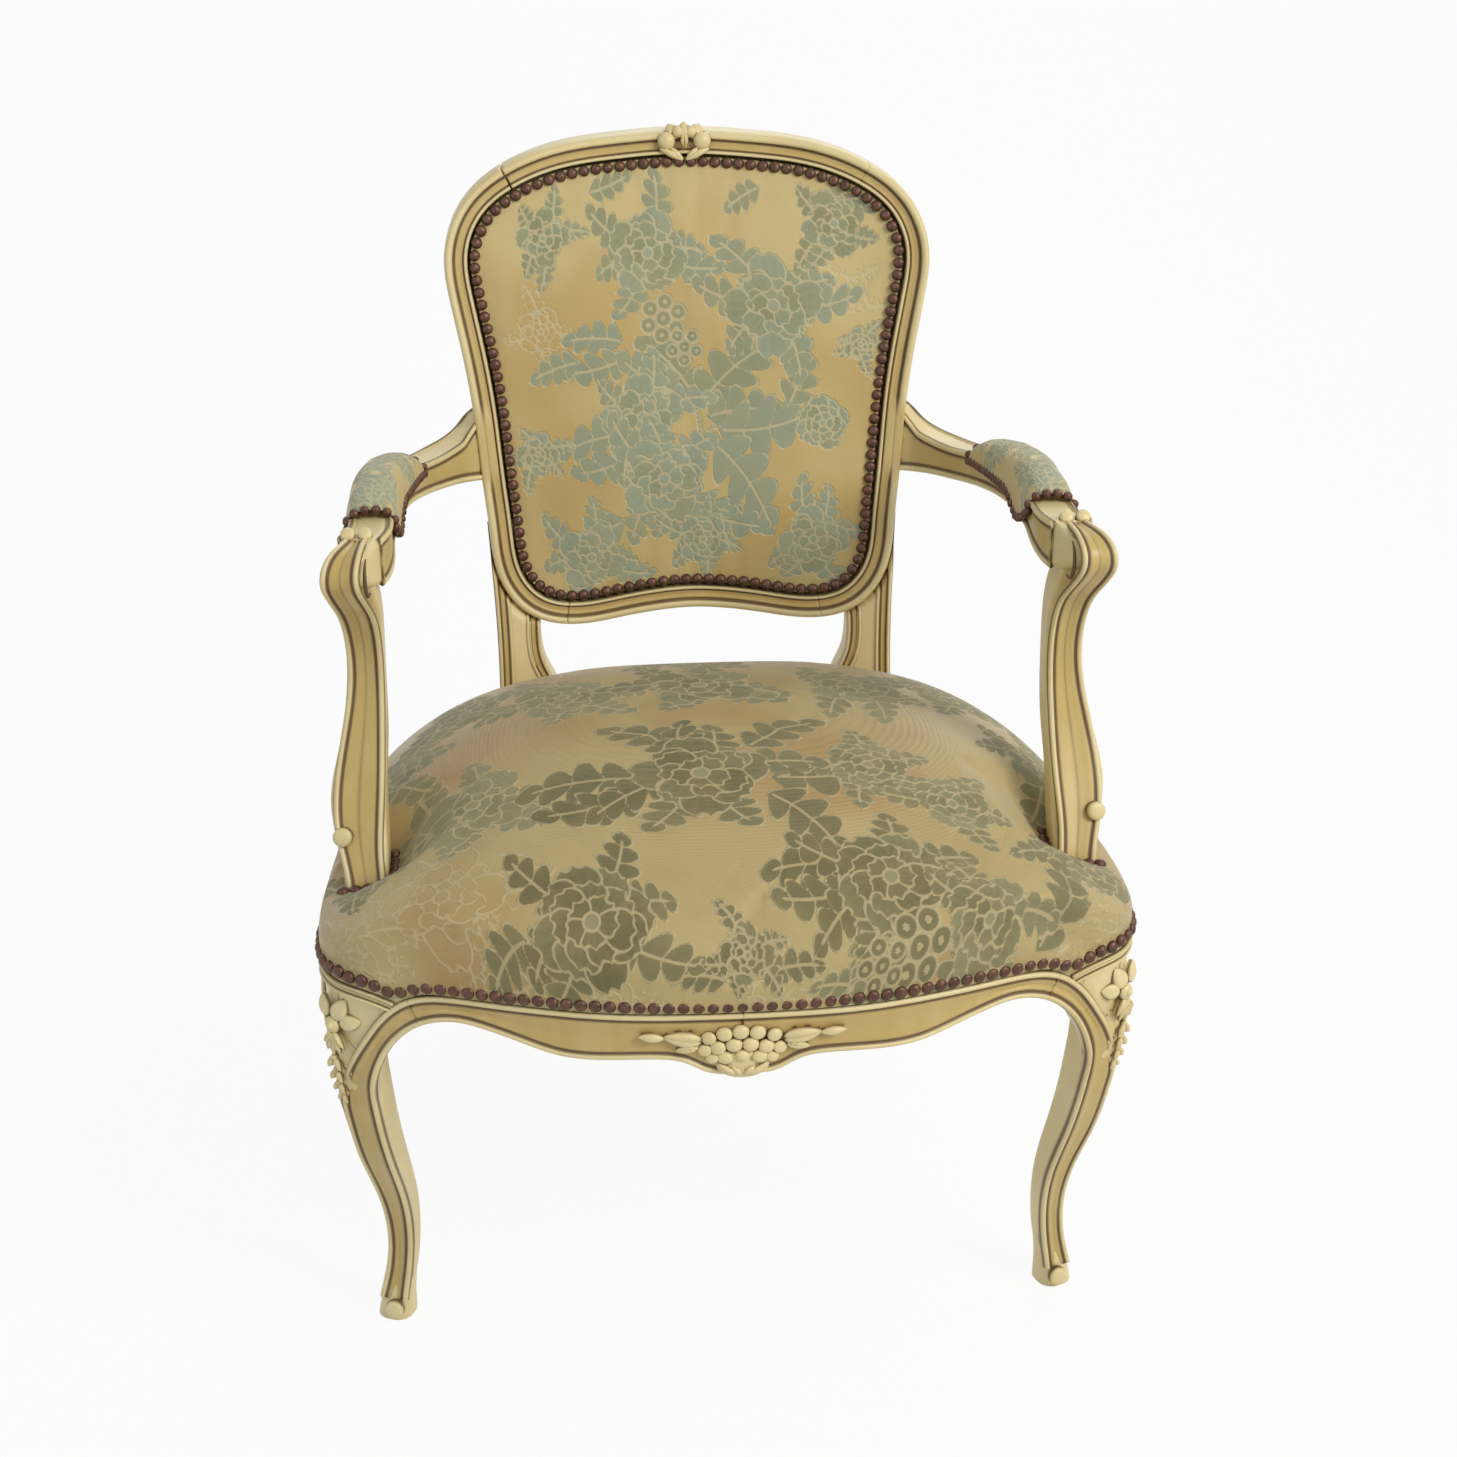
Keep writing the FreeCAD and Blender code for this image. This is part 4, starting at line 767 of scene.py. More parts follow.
def ear_strip():
    """Raised edge under the nails over the knee's flower, round the corner."""
    front = on_front([(247, 349), (256, 352.5), (266, 355.5), (276, 357.5)])
    side = on_side([(-217, 358.5), (-205, 356.5), (-193, 352)])
    corner = np.array([(290, -245, 358.3), (298.5, -231, 358.8)])
    top = spline(np.vstack([front, corner, side]), 50)
    low = top - np.array([0, 0, 8.5])
    share, stations = np.linspace(0, 1, 50), [0, 0.35, 0.75, 1]
    sideways = np.interp(share, stations, [0.3, 0.45, 1, 1])
    forwards = np.interp(share, stations, [-1, -0.9, -0.25, 0])
    out = unit(np.stack([sideways, forwards, np.zeros(50)], 1))
    return panel(top, low, out, bead=3.0, dish=-0.7, wash=0.15, thick=5)


def foot_disc():
    return dome((268.2, -205.5, 33), (0.33, -1, 0.12), 7.6, 3.4, flat=0.6)


def bouquet():
    """Carving in the middle of the front rail: petals over stems, leaves and a bud on each side."""
    def at(x, z, lift=0.0):
        return (x, float(seat_face_y(x)) - lift, z)

    parts = [dome(at(0, 319, -1), (0, -1, 0), 15, 4.0, squash=(1.3, 0.75), flat=0.4)]
    rows = [
        (-24, 341, 5.6, 3.2), (-13, 344, 6.0, 3.8), (-1.5, 345.5, 6.2, 4.2), (10.5, 344.5, 6.0, 3.8),
        (22.5, 342, 5.6, 3.2),
        (-27, 331.5, 5.4, 3.0), (-17.5, 333.5, 6.0, 4.6), (-6.2, 335.5, 6.2, 5.4), (5.4, 335.5, 6.2, 5.4),
        (16.6, 333.5, 6.0, 4.6),
        (26.5, 332, 5.4, 3.0), (-12.5, 325.5, 6.0, 4.6), (12.0, 325.5, 6.0, 4.6), (-0.4, 327.0, 5.6, 5.8),
        (-21.5, 325, 5.0, 3.0), (21, 325, 5.0, 3.0),
    ]
    for x, z, radius, rise in rows:
        parts.append(dome(at(x, z, 0.0), (x * 0.012, -1, 0.12), radius, rise, flat=0.35, squash=(1.0, 0.88)))
    for side in (-1, 1):
        for x, z in ((17, 321), (8, 318.5)):
            stem = spline(
                [at(side * 1.2, 312.5, 2.6), at(side * x * 0.5, 315.5, 4.0), at(side * x, z, 3.0)], 10
            )
            parts.append(tube(stem, 2.0))
        leaf = (side * 0.03, -1, 0.05)
        angle = math.radians(8 if side > 0 else 172)
        parts.append(petal(at(side * 29, 339, 0.4), leaf, angle, 27, 13, 4.2, fold=0.3))
        parts.append(
            petal(at(side * 31, 335, 0.2), leaf, math.radians(-12 if side > 0 else 192), 17, 8, 3.2, fold=0.2)
        )
        parts.append(dome(at(side * 37, 335.5, 0.2), leaf, 4.4, 3.4))
        parts.append(
            petal(
                at(side * 55, 341.5, 0.2), leaf, math.radians(6 if side > 0 else 174), 19, 7.5, 3.4, point=0.3
            )
        )
    return parts


def front_rail_parts():
    chosen = (np.abs(SEAT_LINE[:, 0]) < 232.4) & (SEAT_LINE[:, 1] < -200)
    line, out = SEAT_LINE[chosen], SEAT_OUT[chosen]
    low = curve_of(FRONT_LOW, np.abs(line[:, 0]))
    band = front_band(True)
    return [rail_body(low + 1, SHOW, line - out * BODY_INSET, line - out * RAIL_DEPTH), band, mirrored(band)]


# Upholstery


def disc_grid(count):
    """Square grid bent to a disc: each point's share of the way to the rim, and its direction."""
    a, b = np.meshgrid(np.linspace(-1, 1, count), np.linspace(-1, 1, count), indexing="ij")
    u, v = a * np.sqrt(1 - b**2 / 2), b * np.sqrt(1 - a**2 / 2)
    return np.clip(np.hypot(u, v), 0, 1), np.arctan2(v, u)


def polar_reach(outline, centre, angle):
    """Distance from a centre to the outline round it in each direction."""
    line = outline - centre
    turn = np.unwrap(np.arctan2(line[:, 1], line[:, 0]))
    turn, length = turn - 2 * np.pi * np.floor(turn[0] / (2 * np.pi)), np.linalg.norm(line, axis=1)
    turn, length = np.r_[turn - 2 * np.pi, turn, turn + 2 * np.pi], np.tile(length, 3)
    order = np.argsort(turn)
    return np.interp(np.mod(angle, 2 * np.pi), turn[order], length[order])


SEAT_CENTRE = np.array([0.0, -60.0])
SEAT_CROWN = [
    (-332, -0.06, 296), (-312, 0.14, 298), (-280, 0.42, 300), (-220, 0.72, 303), (-130, 0.94, 304),
    (-30, 1.0, 297), (70, 0.86, 276), (140, 0.58, 240), (180, 0.32, 202), (215, 0.02, 170),
]


def seat_height(x, y):
    """Top of the seat: along the middle a smooth crown, across it a half arch that is fuller at the sides."""
    rows = np.array(SEAT_CROWN, float)
    share, half = curve_of(rows[:, [0, 1]], y), curve_of(rows[:, [0, 2]], y)
    side = np.clip(np.abs(x) / half, 0, 1.08)
    z = 391 + 86 * share * (1 - 0.86 * side**3.0) - 16 * side**8
    # support and post: middle, half sizes, the seat's height against them and how far they draw it down
    for cx, cy, wide, deep, base, reach in ((270, -149, 19, 20, 389, 46), (151, 200, 32, 36, 393, 34)):
        away = np.hypot(np.maximum(np.abs(np.abs(x) - cx) - wide, 0), np.maximum(np.abs(y - cy) - deep, 0))
        z = base + (z - base) * smoothstep(-4, reach, away) ** 0.75
    return z


def nail_height(x, y):
    """Height of the seat's nail row: level, with a dip over each knee at the front."""
    corner = np.exp(-(((np.abs(x) - 247) / 15) ** 2)) * (y < -200)
    return 365.5 - 7.5 * corner + 2.0 * (np.abs(x) > 280) * (y < -190)


def seat_cloth_grid(count):
    """Square grid bent to the seat's outline: on the crown inside its edge, then down to the nails."""
    share, angle = disc_grid(count)
    reach = polar_reach(SEAT_LINE + SEAT_OUT * -0.7, SEAT_CENTRE, angle)
    rim = 0.88
    r = reach * np.minimum(share / rim, 1)
    x, y = SEAT_CENTRE[0] + r * np.cos(angle), SEAT_CENTRE[1] + r * np.sin(angle)
    top = seat_height(x, y)
    low = nail_height(x, y) - 5.0
    drop = np.clip((share - rim) / (1 - rim), 0, 1)
    z = top + (low - top) * drop
    unrolled = reach * share / rim
    flat = np.stack([unrolled * np.cos(angle), unrolled * np.sin(angle)], -1)
    points = np.stack([x, y, z], -1)
    for _ in range(max(2, count // 22)):
        inner = points.copy()
        inner[1:-1, 1:-1] = (points[:-2, 1:-1] + points[2:, 1:-1] + points[1:-1, :-2] + points[1:-1, 2:]) / 4
        points = inner
    return points, flat


def held_rim(points):
    """1 on the rim of a grid, 0 inside it."""
    held = np.zeros(points.shape[:2])
    held[[0, -1], :] = held[:, [0, -1]] = 1.0
    return held


def cloth_object(name, points, held):
    quads, _ = open_grid(*points.shape[:2])
    piece = linked(name, points.reshape(-1, 3), quads.tolist())
    piece.vertex_groups.new(name="held").add(np.flatnonzero(held).tolist(), 1.0, "REPLACE")
    return piece


def inflated(points, held, pressure, cap, frames=20):
    """Cloth under pressure, held at its rim and wherever held is 1, with each point's travel capped."""
    piece = cloth_object("pressed_cloth", points, held)
    cloth = piece.modifiers.new("Cloth", "CLOTH")
    settings = cloth.settings
    settings.quality = 6
    settings.mass = 0.3
    settings.tension_stiffness = settings.compression_stiffness = 40
    settings.shear_stiffness = 15
    settings.bending_stiffness = 2.0
    settings.use_pressure = True
    settings.uniform_pressure_force = pressure
    settings.vertex_group_mass = "held"
    settings.effector_weights.gravity = 0
    cloth.collision_settings.use_collision = False
    cloth.collision_settings.use_self_collision = False
    cloth.point_cache.frame_start, cloth.point_cache.frame_end = 1, frames
    for number in range(1, frames + 1):
        bpy.context.scene.frame_set(number)
    evaluated = piece.evaluated_get(bpy.context.evaluated_depsgraph_get())
    mesh = evaluated.to_mesh()
    moved = np.zeros(len(mesh.vertices) * 3)
    mesh.vertices.foreach_get("co", moved)
    evaluated.to_mesh_clear()
    bpy.data.objects.remove(piece)
    bpy.context.scene.frame_set(1)
    travel = moved.reshape(points.shape) / MM - points
    length = np.linalg.norm(travel, axis=-1, keepdims=True)
    return points + travel / np.maximum(length, 1e-9) * cap * np.tanh(length / cap)


def resample(values, count_a, count_b):
    """Grid values at a finer spacing, by cubic curves along one way and then the other."""
    def finer(array, count):
        n = array.shape[0]
        t = np.linspace(0, n - 1, count)
        k = np.clip(t.astype(int), 0, n - 2)
        f = (t - k).reshape(-1, *([1] * (array.ndim - 1)))
        p0, p1, p2, p3 = array[np.maximum(k - 1, 0)], array[k], array[k + 1], array[np.minimum(k + 2, n - 1)]
        return p1 + 0.5 * f * (p2 - p0 + f * (2 * p0 - 5 * p1 + 4 * p2 - p3 + f * (3 * (p1 - p2) + p3 - p0)))
    return np.swapaxes(finer(np.swapaxes(finer(values, count_a), 0, 1), count_b), 0, 1)


# Damask: leaves and petals drawn one over another on the flat cloth


def turned(flat, centre, angle):
    d = flat - np.array(centre, float)
    c, s = math.cos(angle), math.sin(angle)
    return d[..., 0] * c + d[..., 1] * s, d[..., 1] * c - d[..., 0] * s


def leaf_shape(flat, foot, angle, length, width, lobes=0, cut=0.0, bend=0.0, veins=0, full=0.8):
    """Distance inside a leaf and distance to its veins: a sine of the share along, cut by lobes."""
    u, v = turned(flat, foot, angle)
    v = v - bend * (u / length) ** 2 * length
    s = np.clip(u / length, -0.2, 1.2)
    inside = np.clip(s, 0.0, 1.0)
    half = width / 2 * np.sin(np.pi * inside**full) ** 0.6
    if lobes:
        wave = np.abs(np.sin(np.pi * (lobes * inside - 0.9 * np.abs(v) / width)))
        half = half * (1 - cut * (1 - wave) ** 1.3)
    d = np.minimum(half - np.abs(v), np.minimum(u, length - u) + 1.5)
    vein = np.abs(v) + 0.02 * length * (s > 0.85) + 9.0 * (s < 0.04)
    if veins:
        side = np.abs(np.mod(veins * inside - 0.9 * np.abs(v) / width + 0.5, 1) - 0.5) * length / veins
        vein = np.minimum(vein, side + 0.6 + 6.0 * (np.abs(v) > 0.75 * half))
    return d, vein


class Damask:
    """Painter of the pattern: each leaf covers what is under it within a pale line; a ghost is lines only."""

    def __init__(self, flat):
        self.flat = flat
        shape = flat.shape[:-1]
        self.leaf, self.line, self.tone = np.full(shape, -9.0), np.full(shape, 9.0), np.zeros(shape)
        self.ghost = False

    def lay(self, d, vein, tone):
        over = d > 0
        self.line = np.where(over, np.minimum(np.abs(d), vein), np.minimum(self.line, np.abs(d) + 0.5))
        self.tone = np.where(over, tone + 0.3 * np.exp(-np.maximum(d, 0) / 3.5), self.tone)
        self.leaf = np.where(over, -9.0, self.leaf) if self.ghost else np.maximum(self.leaf, d)

    def spray(self, x, y, angle, length, width, bend=0.0, tone=0.5):
        """Acanthus leaf: a blade cut into forward lobes, with a midrib and side veins."""
        self.lay(*leaf_shape(self.flat, (x, y), math.radians(angle), length, width, 4, 0.7, bend, 4), tone)

    def flower(self, x, y, size, turn=0.0, tone=0.6):
        """Peony: rings of broad petals with waved ends, each over the one outside it, and a round heart."""
        for ring, (count, reach, wide) in enumerate(((8, 1.0, 0.8), (7, 0.72, 0.62), (5, 0.45, 0.42))):
            for i in range(count):
                angle = turn + ring * 0.4 + i * 2 * math.pi / count
                long = size * reach * (1 + 0.13 * math.sin(3.1 * i + x))
                bend = 0.14 * math.sin(i * 2.3 + y)
                d, _ = leaf_shape(self.flat, (x, y), angle, long, size * wide, 0, 0, bend, 0, 1.6)
                u, v = turned(self.flat, (x, y), angle)
                d = np.minimum(d, long - 0.09 * size * np.abs(np.sin(v / size * 13)) - u)
                stripe = np.abs(np.mod(np.arctan2(v, u + 0.2 * size) * 5 + 0.5, 1) - 0.5)
                self.lay(
                    d, np.full(d.shape, 9.0),
                    tone + 0.5 * (0.25 - stripe) + 0.2 * math.sin(i * 1.7 + ring) - 0.12 * ring
                )
        self.lay(
            size * 0.14 - np.hypot(*np.moveaxis(self.flat - (x, y), -1, 0)), np.full(self.leaf.shape, 9.0),
            0.95
        )

    def berries(self, x, y, size, count=7, turn=0.0):
        for i in range(count):
            ring = 0 if i == 0 else size * 2.0
            angle = turn + i * 2 * math.pi / max(count - 1, 1)
            spot = (x + ring * math.cos(angle), y + ring * math.sin(angle))
            r = np.hypot(*np.moveaxis(self.flat - spot, -1, 0))
            self.lay(size - r, np.where(r < 0.35 * size, 0.0, 9.0), 0.1)

    def stem(self, points, wide=1.6):
        path = spline(points, 60, along=2)
        d = np.full(self.leaf.shape, 99.0)
        for a, b in path:
            d = np.minimum(d, np.hypot(self.flat[..., 0] - a, self.flat[..., 1] - b))
        self.lay(wide - d, np.full(self.leaf.shape, 9.0), 0.4)

    def bouquet(self, x, y, size, turn=0.0, tone=0.55, leaves=5, ghost=False):
        """A flower over a few long leaves that curl away from it."""
        self.ghost = ghost
        for i in range(leaves):
            angle = turn + i * 360.0 / leaves + 17 * math.sin(i * 2.1 + x)
            away = size * 0.45
            foot = x + away * math.cos(math.radians(angle)), y + away * math.sin(math.radians(angle))
            long = size * (1.25 + 0.3 * math.sin(i * 1.9 + y))
            self.spray(
                *foot, angle, long, size * 0.85, 0.3 * (1 if i % 2 else -1), tone + 0.15 * math.cos(i * 1.3)
            )
        self.flower(x, y, size, math.radians(turn), tone + 0.05)
        self.ghost = False

    def fields(self):
        return np.stack([np.clip(self.leaf, -6, 6), np.clip(self.line, 0, 6), np.clip(self.tone, 0, 1)], -1)


def back_design(flat):
    cloth = Damask(flat)
    cloth.bouquet(-128, 716, 20, 10, 0.6, 4, ghost=True)
    cloth.bouquet(140, 742, 18, 40, 0.6, 4, ghost=True)
    cloth.stem([(-12, 520), (-6, 570), (8, 620), (-4, 680), (-18, 740)], 2.2)
    cloth.stem([(8, 620), (34, 650), (62, 700)], 2.0)
    for x, y, angle, length, width, bend, tone in (
        (-58, 706, 165, 52, 32, 0.25, 0.5), (-56, 692, 205, 60, 34, -0.25, 0.45),
        (-96, 690, 190, 46, 28, 0.2, 0.5),
        (2, 660, 118, 66, 44, 0.3, 0.3), (10, 652, 55, 84, 50, -0.3, 0.3), (14, 640, 20, 70, 44, -0.3, 0.45),
        (24, 630, -8, 88, 58, 0.35, 0.65), (20, 618, -38, 92, 56, -0.35, 0.75),
        (-6, 660, 165, 66, 42, -0.3, 0.55),
        (-52, 628, 178, 66, 40, 0.3, 0.6), (-50, 612, 214, 58, 36, -0.3, 0.6),
        (86, 650, 60, 60, 36, 0.3, 0.4),
        (4, 560, -30, 66, 38, 0.3, 0.8), (-60, 552, 200, 66, 38, 0.3, 0.8),
    ):
        cloth.spray(x, y, angle, length, width, bend, tone)
    cloth.bouquet(-34, 778, 35, 20, 0.35, 6)
    cloth.bouquet(74, 734, 40, 50, 0.45, 6)
    cloth.berries(-22, 724, 7.0, 7, 0.4)
    cloth.berries(-4, 700, 5.5, 6, 0.9)
    cloth.bouquet(-42, 642, 34, 10, 0.6, 5)
    cloth.bouquet(-24, 588, 38, 35, 0.7, 6)
    cloth.flower(116, 634, 24, 0.3, 0.55)
    cloth.bouquet(-134, 612, 18, 40, 0.55, 5)
    cloth.bouquet(-124, 792, 22, 0, 0.25, 5)
    cloth.bouquet(128, 800, 27, 25, 0.25, 6)
    cloth.spray(64, 828, 200, 36, 24, 0.2, 0.25)
    cloth.spray(-84, 826, 10, 40, 24, 0.2, 0.25)
    cloth.bouquet(-90, 520, 30, 15, 0.75, 6)
    cloth.bouquet(10, 532, 24, 5, 0.8, 5)
    cloth.bouquet(108, 532, 30, 5, 0.7, 6)
    cloth.bouquet(150, 700, 15, 70, 0.35, 5)
    return cloth.fields()


def seat_design(flat):
    cloth = Damask(flat)
    for x, y, size, turn, tone, leaves in (
        (-209, -192, 44, 35, 0.8, 6), (-190, -97, 42, 10, 0.8, 6), (-170, -262, 30, 10, 0.8, 6),
        (-96, -292, 26, 40, 0.7, 6),
        (105, -280, 28, 0, 0.7, 6), (-262, -110, 36, 50, 0.6, 6), (268, -150, 38, 20, 0.5, 6),
        (-262, 10, 38, 0, 0.6, 6),
        (262, 0, 38, 20, 0.6, 6), (-120, 60, 42, 15, 0.7, 6), (120, 64, 42, 45, 0.7, 6),
        (0, 165, 40, 15, 0.6, 6),
        (-120, 170, 34, 15, 0.6, 6), (120, 170, 34, 15, 0.6, 6), (-200, 90, 38, 15, 0.6, 6),
        (200, 96, 38, 15, 0.6, 6),
        (-290, -200, 30, 15, 0.6, 6), (292, -214, 30, 15, 0.6, 6), (20, -296, 26, 15, 0.6, 6),
        (222, -280, 26, 15, 0.6, 6),
    ):
        cloth.bouquet(x, y, size, turn, tone, leaves, ghost=size in (44, 30, 26, 34))
    for x, y, angle, length, width, bend, tone in (
        (-66, -96, 172, 92, 52, 0.25, 0.15), (-60, -116, 206, 84, 46, -0.3, 0.1),
        (34, -100, -8, 96, 52, 0.3, 0.2),
        (30, -120, -38, 84, 48, -0.3, 0.1), (-30, -60, 130, 74, 44, 0.3, 0.2),
        (20, -58, 50, 74, 44, -0.3, 0.2),
        (84, -196, 168, 66, 44, 0.3, 0.1), (84, -214, 200, 60, 38, -0.3, 0.15),
        (-150, -236, 190, 50, 36, 0.3, 0.2),
        (236, -236, 70, 72, 40, 0.3, 0.3), (-12, -268, 160, 40, 26, 0.3, 0.2),
        (20, -264, 20, 40, 26, -0.3, 0.2),
    ):
        cloth.spray(x, y, angle, length, width, bend, tone)
    cloth.bouquet(110, -84, 34, 30, 0.5, 5)
    cloth.bouquet(170, -122, 32, 60, 0.6, 5)
    cloth.bouquet(-8, 66, 46, 5, 0.4, 6)
    cloth.bouquet(-104, -228, 43, 15, 0.1, 6)
    cloth.bouquet(110, -204, 42, 30, 0.15, 6)
    cloth.berries(130, -250, 8.5, 7, 0.3)
    cloth.berries(104, -262, 6.5, 6, 0.8)
    cloth.bouquet(182, -230, 34, 25, 0.4, 5)
    cloth.bouquet(-18, -92, 50, 5, 0.15, 6)
    cloth.bouquet(4, -252, 20, 40, 0.2, 5)
    return cloth.fields()


def pad_design(flat):
    cloth = Damask(flat)
    for i, (x, y) in enumerate(((-80, 0), (-30, 12), (15, -10), (62, 8), (104, -6))):
        cloth.bouquet(x, y, 20 + 3 * (i % 2), 25 * i, 0.45 + 0.06 * i, 7)
    return cloth.fields()


def padded_cover(name, points, fields, finish, nodes, inner):
    """Closed pad: the cloth's grid, a narrow wall inwards from its rim and a fan across below."""
    top, rim = open_grid(*points.shape[:2])
    count = points.shape[0] * points.shape[1]
    flat_points = points.reshape(-1, 3)
    ring = flat_points[rim] + inner(flat_points[rim])
    centre = ring.mean(0)
    verts = np.vstack([flat_points, ring, centre])
    here = np.arange(len(rim))
    after = np.roll(here, -1)
    walls = np.stack([rim, rim[after], count + after, count + here], -1)
    fan = np.stack([count + here, count + after, np.full(len(rim), count + len(rim))], -1)
    shade = np.vstack([fields.reshape(-1, 3), np.tile([-6.0, 6.0, 0.0], (len(rim) + 1, 1))])
    part = [verts, np.vstack([top, walls[:, ::-1]]), fan[:, ::-1], shade]
    if volume(part) < 0:
        part = flipped(part)
    make(name, part, finish, nodes, cloth=part[3].T)


def seat_cushion(finish):
    """Makes the seat's cover, held at its rim, the supports and the posts; returns its surface."""
    points, flat = seat_cloth_grid(110)
    x, y = np.abs(points[..., 0]), points[..., 1]
    held = held_rim(points)
    for cx, cy, wide, deep in ((270, -149, 17, 18), (150, 196, 28, 34)):
        away = np.hypot(np.maximum(np.abs(x - cx) - wide, 0), np.maximum(np.abs(y - cy) - deep, 0))
        held[away < 5] = 1.0
    points = inflated(points, held, 3.0, 7.0)
    count = 480

    def inner(rim):
        return np.c_[SEAT_CENTRE[None] - rim[:, :2], np.zeros(len(rim))] * 0.02 + [0, 0, 4.0]

    padded_cover(
        "seat_damask", resample(points, count, count), seat_design(resample(flat, count, count)), finish,
        ("seat_cover", "seat_stuffing"), inner,
    )
    quads, _ = open_grid(*points.shape[:2])
    return BVHTree.FromPolygons(points.reshape(-1, 3).tolist(), quads.tolist())


def back_cloth_grid(count):
    """Square grid bent to the back's nail line and bulged forwards from its rim."""
    share, angle = disc_grid(count)
    centre = np.array([0, 672.0])
    reach = polar_reach(BACK_LINE + BACK_OUT * 3.5, centre, angle)
    x, z = reach * share * np.cos(angle), centre[1] + reach * share * np.sin(angle)
    rise = (1 - smoothstep(0.42, 0.985, share)) ** 0.8
    return np.stack([x, back_y(x, z, 5.5 - 20.0 * rise), z], -1), np.stack([x, z], -1)


def back_cushion(finish):
    points, flat = back_cloth_grid(72)
    points = inflated(points, held_rim(points), 2.0, 4.0)
    count = 300
    padded_cover(
        "back_damask", resample(points, count, count), back_design(resample(flat, count, count)), finish,
        ("back_cover", "back_stuffing"), lambda rim: np.tile([0, 4.0, 0], (len(rim), 1)),
    )


def sheet_faces(count):
    """Quads of a square grid, and of the walls to the same grid numbered after it."""
    quads, rim = open_grid(count, count)
    total, after = count * count, np.roll(rim, -1)
    return quads, np.stack([rim, after, after + total, rim + total], -1)


def outside_back(finish):
    """Cloth stretched over the back's opening from behind, drawn in a little between its nails."""
    points, flat = back_cloth_grid(72)
    x, z = flat[..., 0], flat[..., 1]
    share = np.hypot(x / 175, (z - 672) / 180)
    points[..., 1] = back_y(x, z, 30.6 - 1.2 * (1 - smoothstep(0.2, 0.95, share)))
    count = 150
    fields = back_design(resample(flat, count, count) * [-1, 1])
    points = resample(points, count, count)
    rows = points.reshape(-1, 3)
    quads, walls = sheet_faces(count)
    quads = quads[:, [0, 3, 2, 1]]
    verts = np.vstack([rows, rows + [0, 1.3, 0]])
    faces = np.vstack([quads[:, ::-1], quads + len(rows), walls])
    part = [verts, faces, NO_TRIS, np.vstack([fields.reshape(-1, 3)] * 2)]
    if volume(part) < 0:
        part = flipped(part)
    piece = make("outside_back_damask", part, finish, ("outside_back_cover",), cloth=part[3].T)


PAD_ROWS = slice(46, 117)


def pad_edge(s):
    """How far the pad's lower edge lies below the arm's middle: lowest at a point near the front."""
    tip = np.exp(-(((s - 0.80) / 0.13) ** 2))
    return -4 + 5 * smoothstep(0.0, 0.5, s) + 12.5 * tip - 6.0 * smoothstep(0.93, 1.0, s)


def pad_grid(rows_count, columns):
    rows = ARM_PATH[PAD_ROWS]
    rows = resample(rows[:, None, :].repeat(2, 1), rows_count, 2)[:, 0]
    across, up = path_frame(rows)
    s = np.linspace(0, 1, rows_count)
    full = np.interp(
        s, [0, 0.05, 0.14, 0.35, 0.65, 0.88, 0.96, 1.0], [0.05, 0.42, 0.78, 0.98, 1.0, 0.86, 0.62, 0.3]
    )
    t = np.linspace(-1, 1, columns)
    half = (rows[:, 3] + 1.2 + 3.2 * full)[:, None]
    crown = (rows[:, 4] + 1.0 + 14.5 * full)[:, None]
    low = -pad_edge(s)[:, None]
    angle = t * np.pi / 2
    a = half * np.sign(t) * np.abs(np.sin(angle)) ** 0.8
    b = low + (crown - low) * np.abs(np.cos(angle)) ** 0.62
    points = rows[:, None, :3] + across[:, None] * a[..., None] + up[:, None] * b[..., None]
    length = np.linalg.norm(np.gradient(rows[:, :3], axis=0), axis=1).cumsum()
    flat = np.stack(
        [np.broadcast_to((length - length.mean())[:, None], a.shape), np.broadcast_to(t * 44, a.shape)], -1
    )
    return points, flat, across, up


def arm_pad(finish, side):
    points, flat = pad_grid(60, 30)[:2]
    points = inflated(points, held_rim(points), 1.5, 2.0)
    points, flat = resample(points, 150, 72), resample(flat, 150, 72)
    fields = pad_design(flat)
    if side < 0:
        points = points * [-1, 1, 1]
    label = "right" if side > 0 else "left"
    middle = points.mean(axis=(0, 1))
    padded_cover(
        "arm_pad_damask_" + label, points, fields, finish,
        ["arm_pad_cover_" + label, "arm_pad_stuffing_" + label],
        lambda rim: (middle - rim) * [0.06, 0.0, 0.0],
    )


# Nails


def nails(name, spots, facings, finish, nodes, radius=4.9, rise=3.1):
    """Domed heads in a row: each is a stack of rings, a little tilted and sized by a seeded chance."""
    spots, facings = np.asarray(spots, float), unit(np.asarray(facings, float))
    facings = unit(facings + rng.normal(0, 0.05, facings.shape))
    side = unit(np.cross(facings, (0.31, 0.2, 0.93)))
    up = np.cross(facings, side)
    sides = 10
    around = np.linspace(0, 2 * np.pi, sides, endpoint=False)
    ring_r = np.array([0.9, 1.0, 0.93, 0.72, 0.4, 0.02]) * radius
    ring_h = np.array([-1.4, 0.0, 0.36, 0.7, 0.93, 1.0]) * rise
    scale = 1 + rng.normal(0, 0.025, len(spots))
    parts = []
    for spot, out, a, b, k in zip(spots, facings, side, up, scale):
        circle = a * np.cos(around)[:, None] + b * np.sin(around)[:, None]
        points = spot + circle[None] * (ring_r * k)[:, None, None] + out * (ring_h * k)[:, None, None]
        parts.append(grid(points))
    return make(name, merge(parts), finish, nodes)


def spaced(points, pitch, closed=False):
    step = np.linalg.norm(np.diff(points[:, :3], axis=0), axis=1)
    count = max(2, int(round(step.sum() / pitch)) + (0 if closed else 1))
    s = np.r_[0, np.cumsum(step)]
    even = np.linspace(0, s[-1], count, endpoint=not closed)
    return np.stack([np.interp(even, s, points[:, j]) for j in range(points.shape[1])], 1)


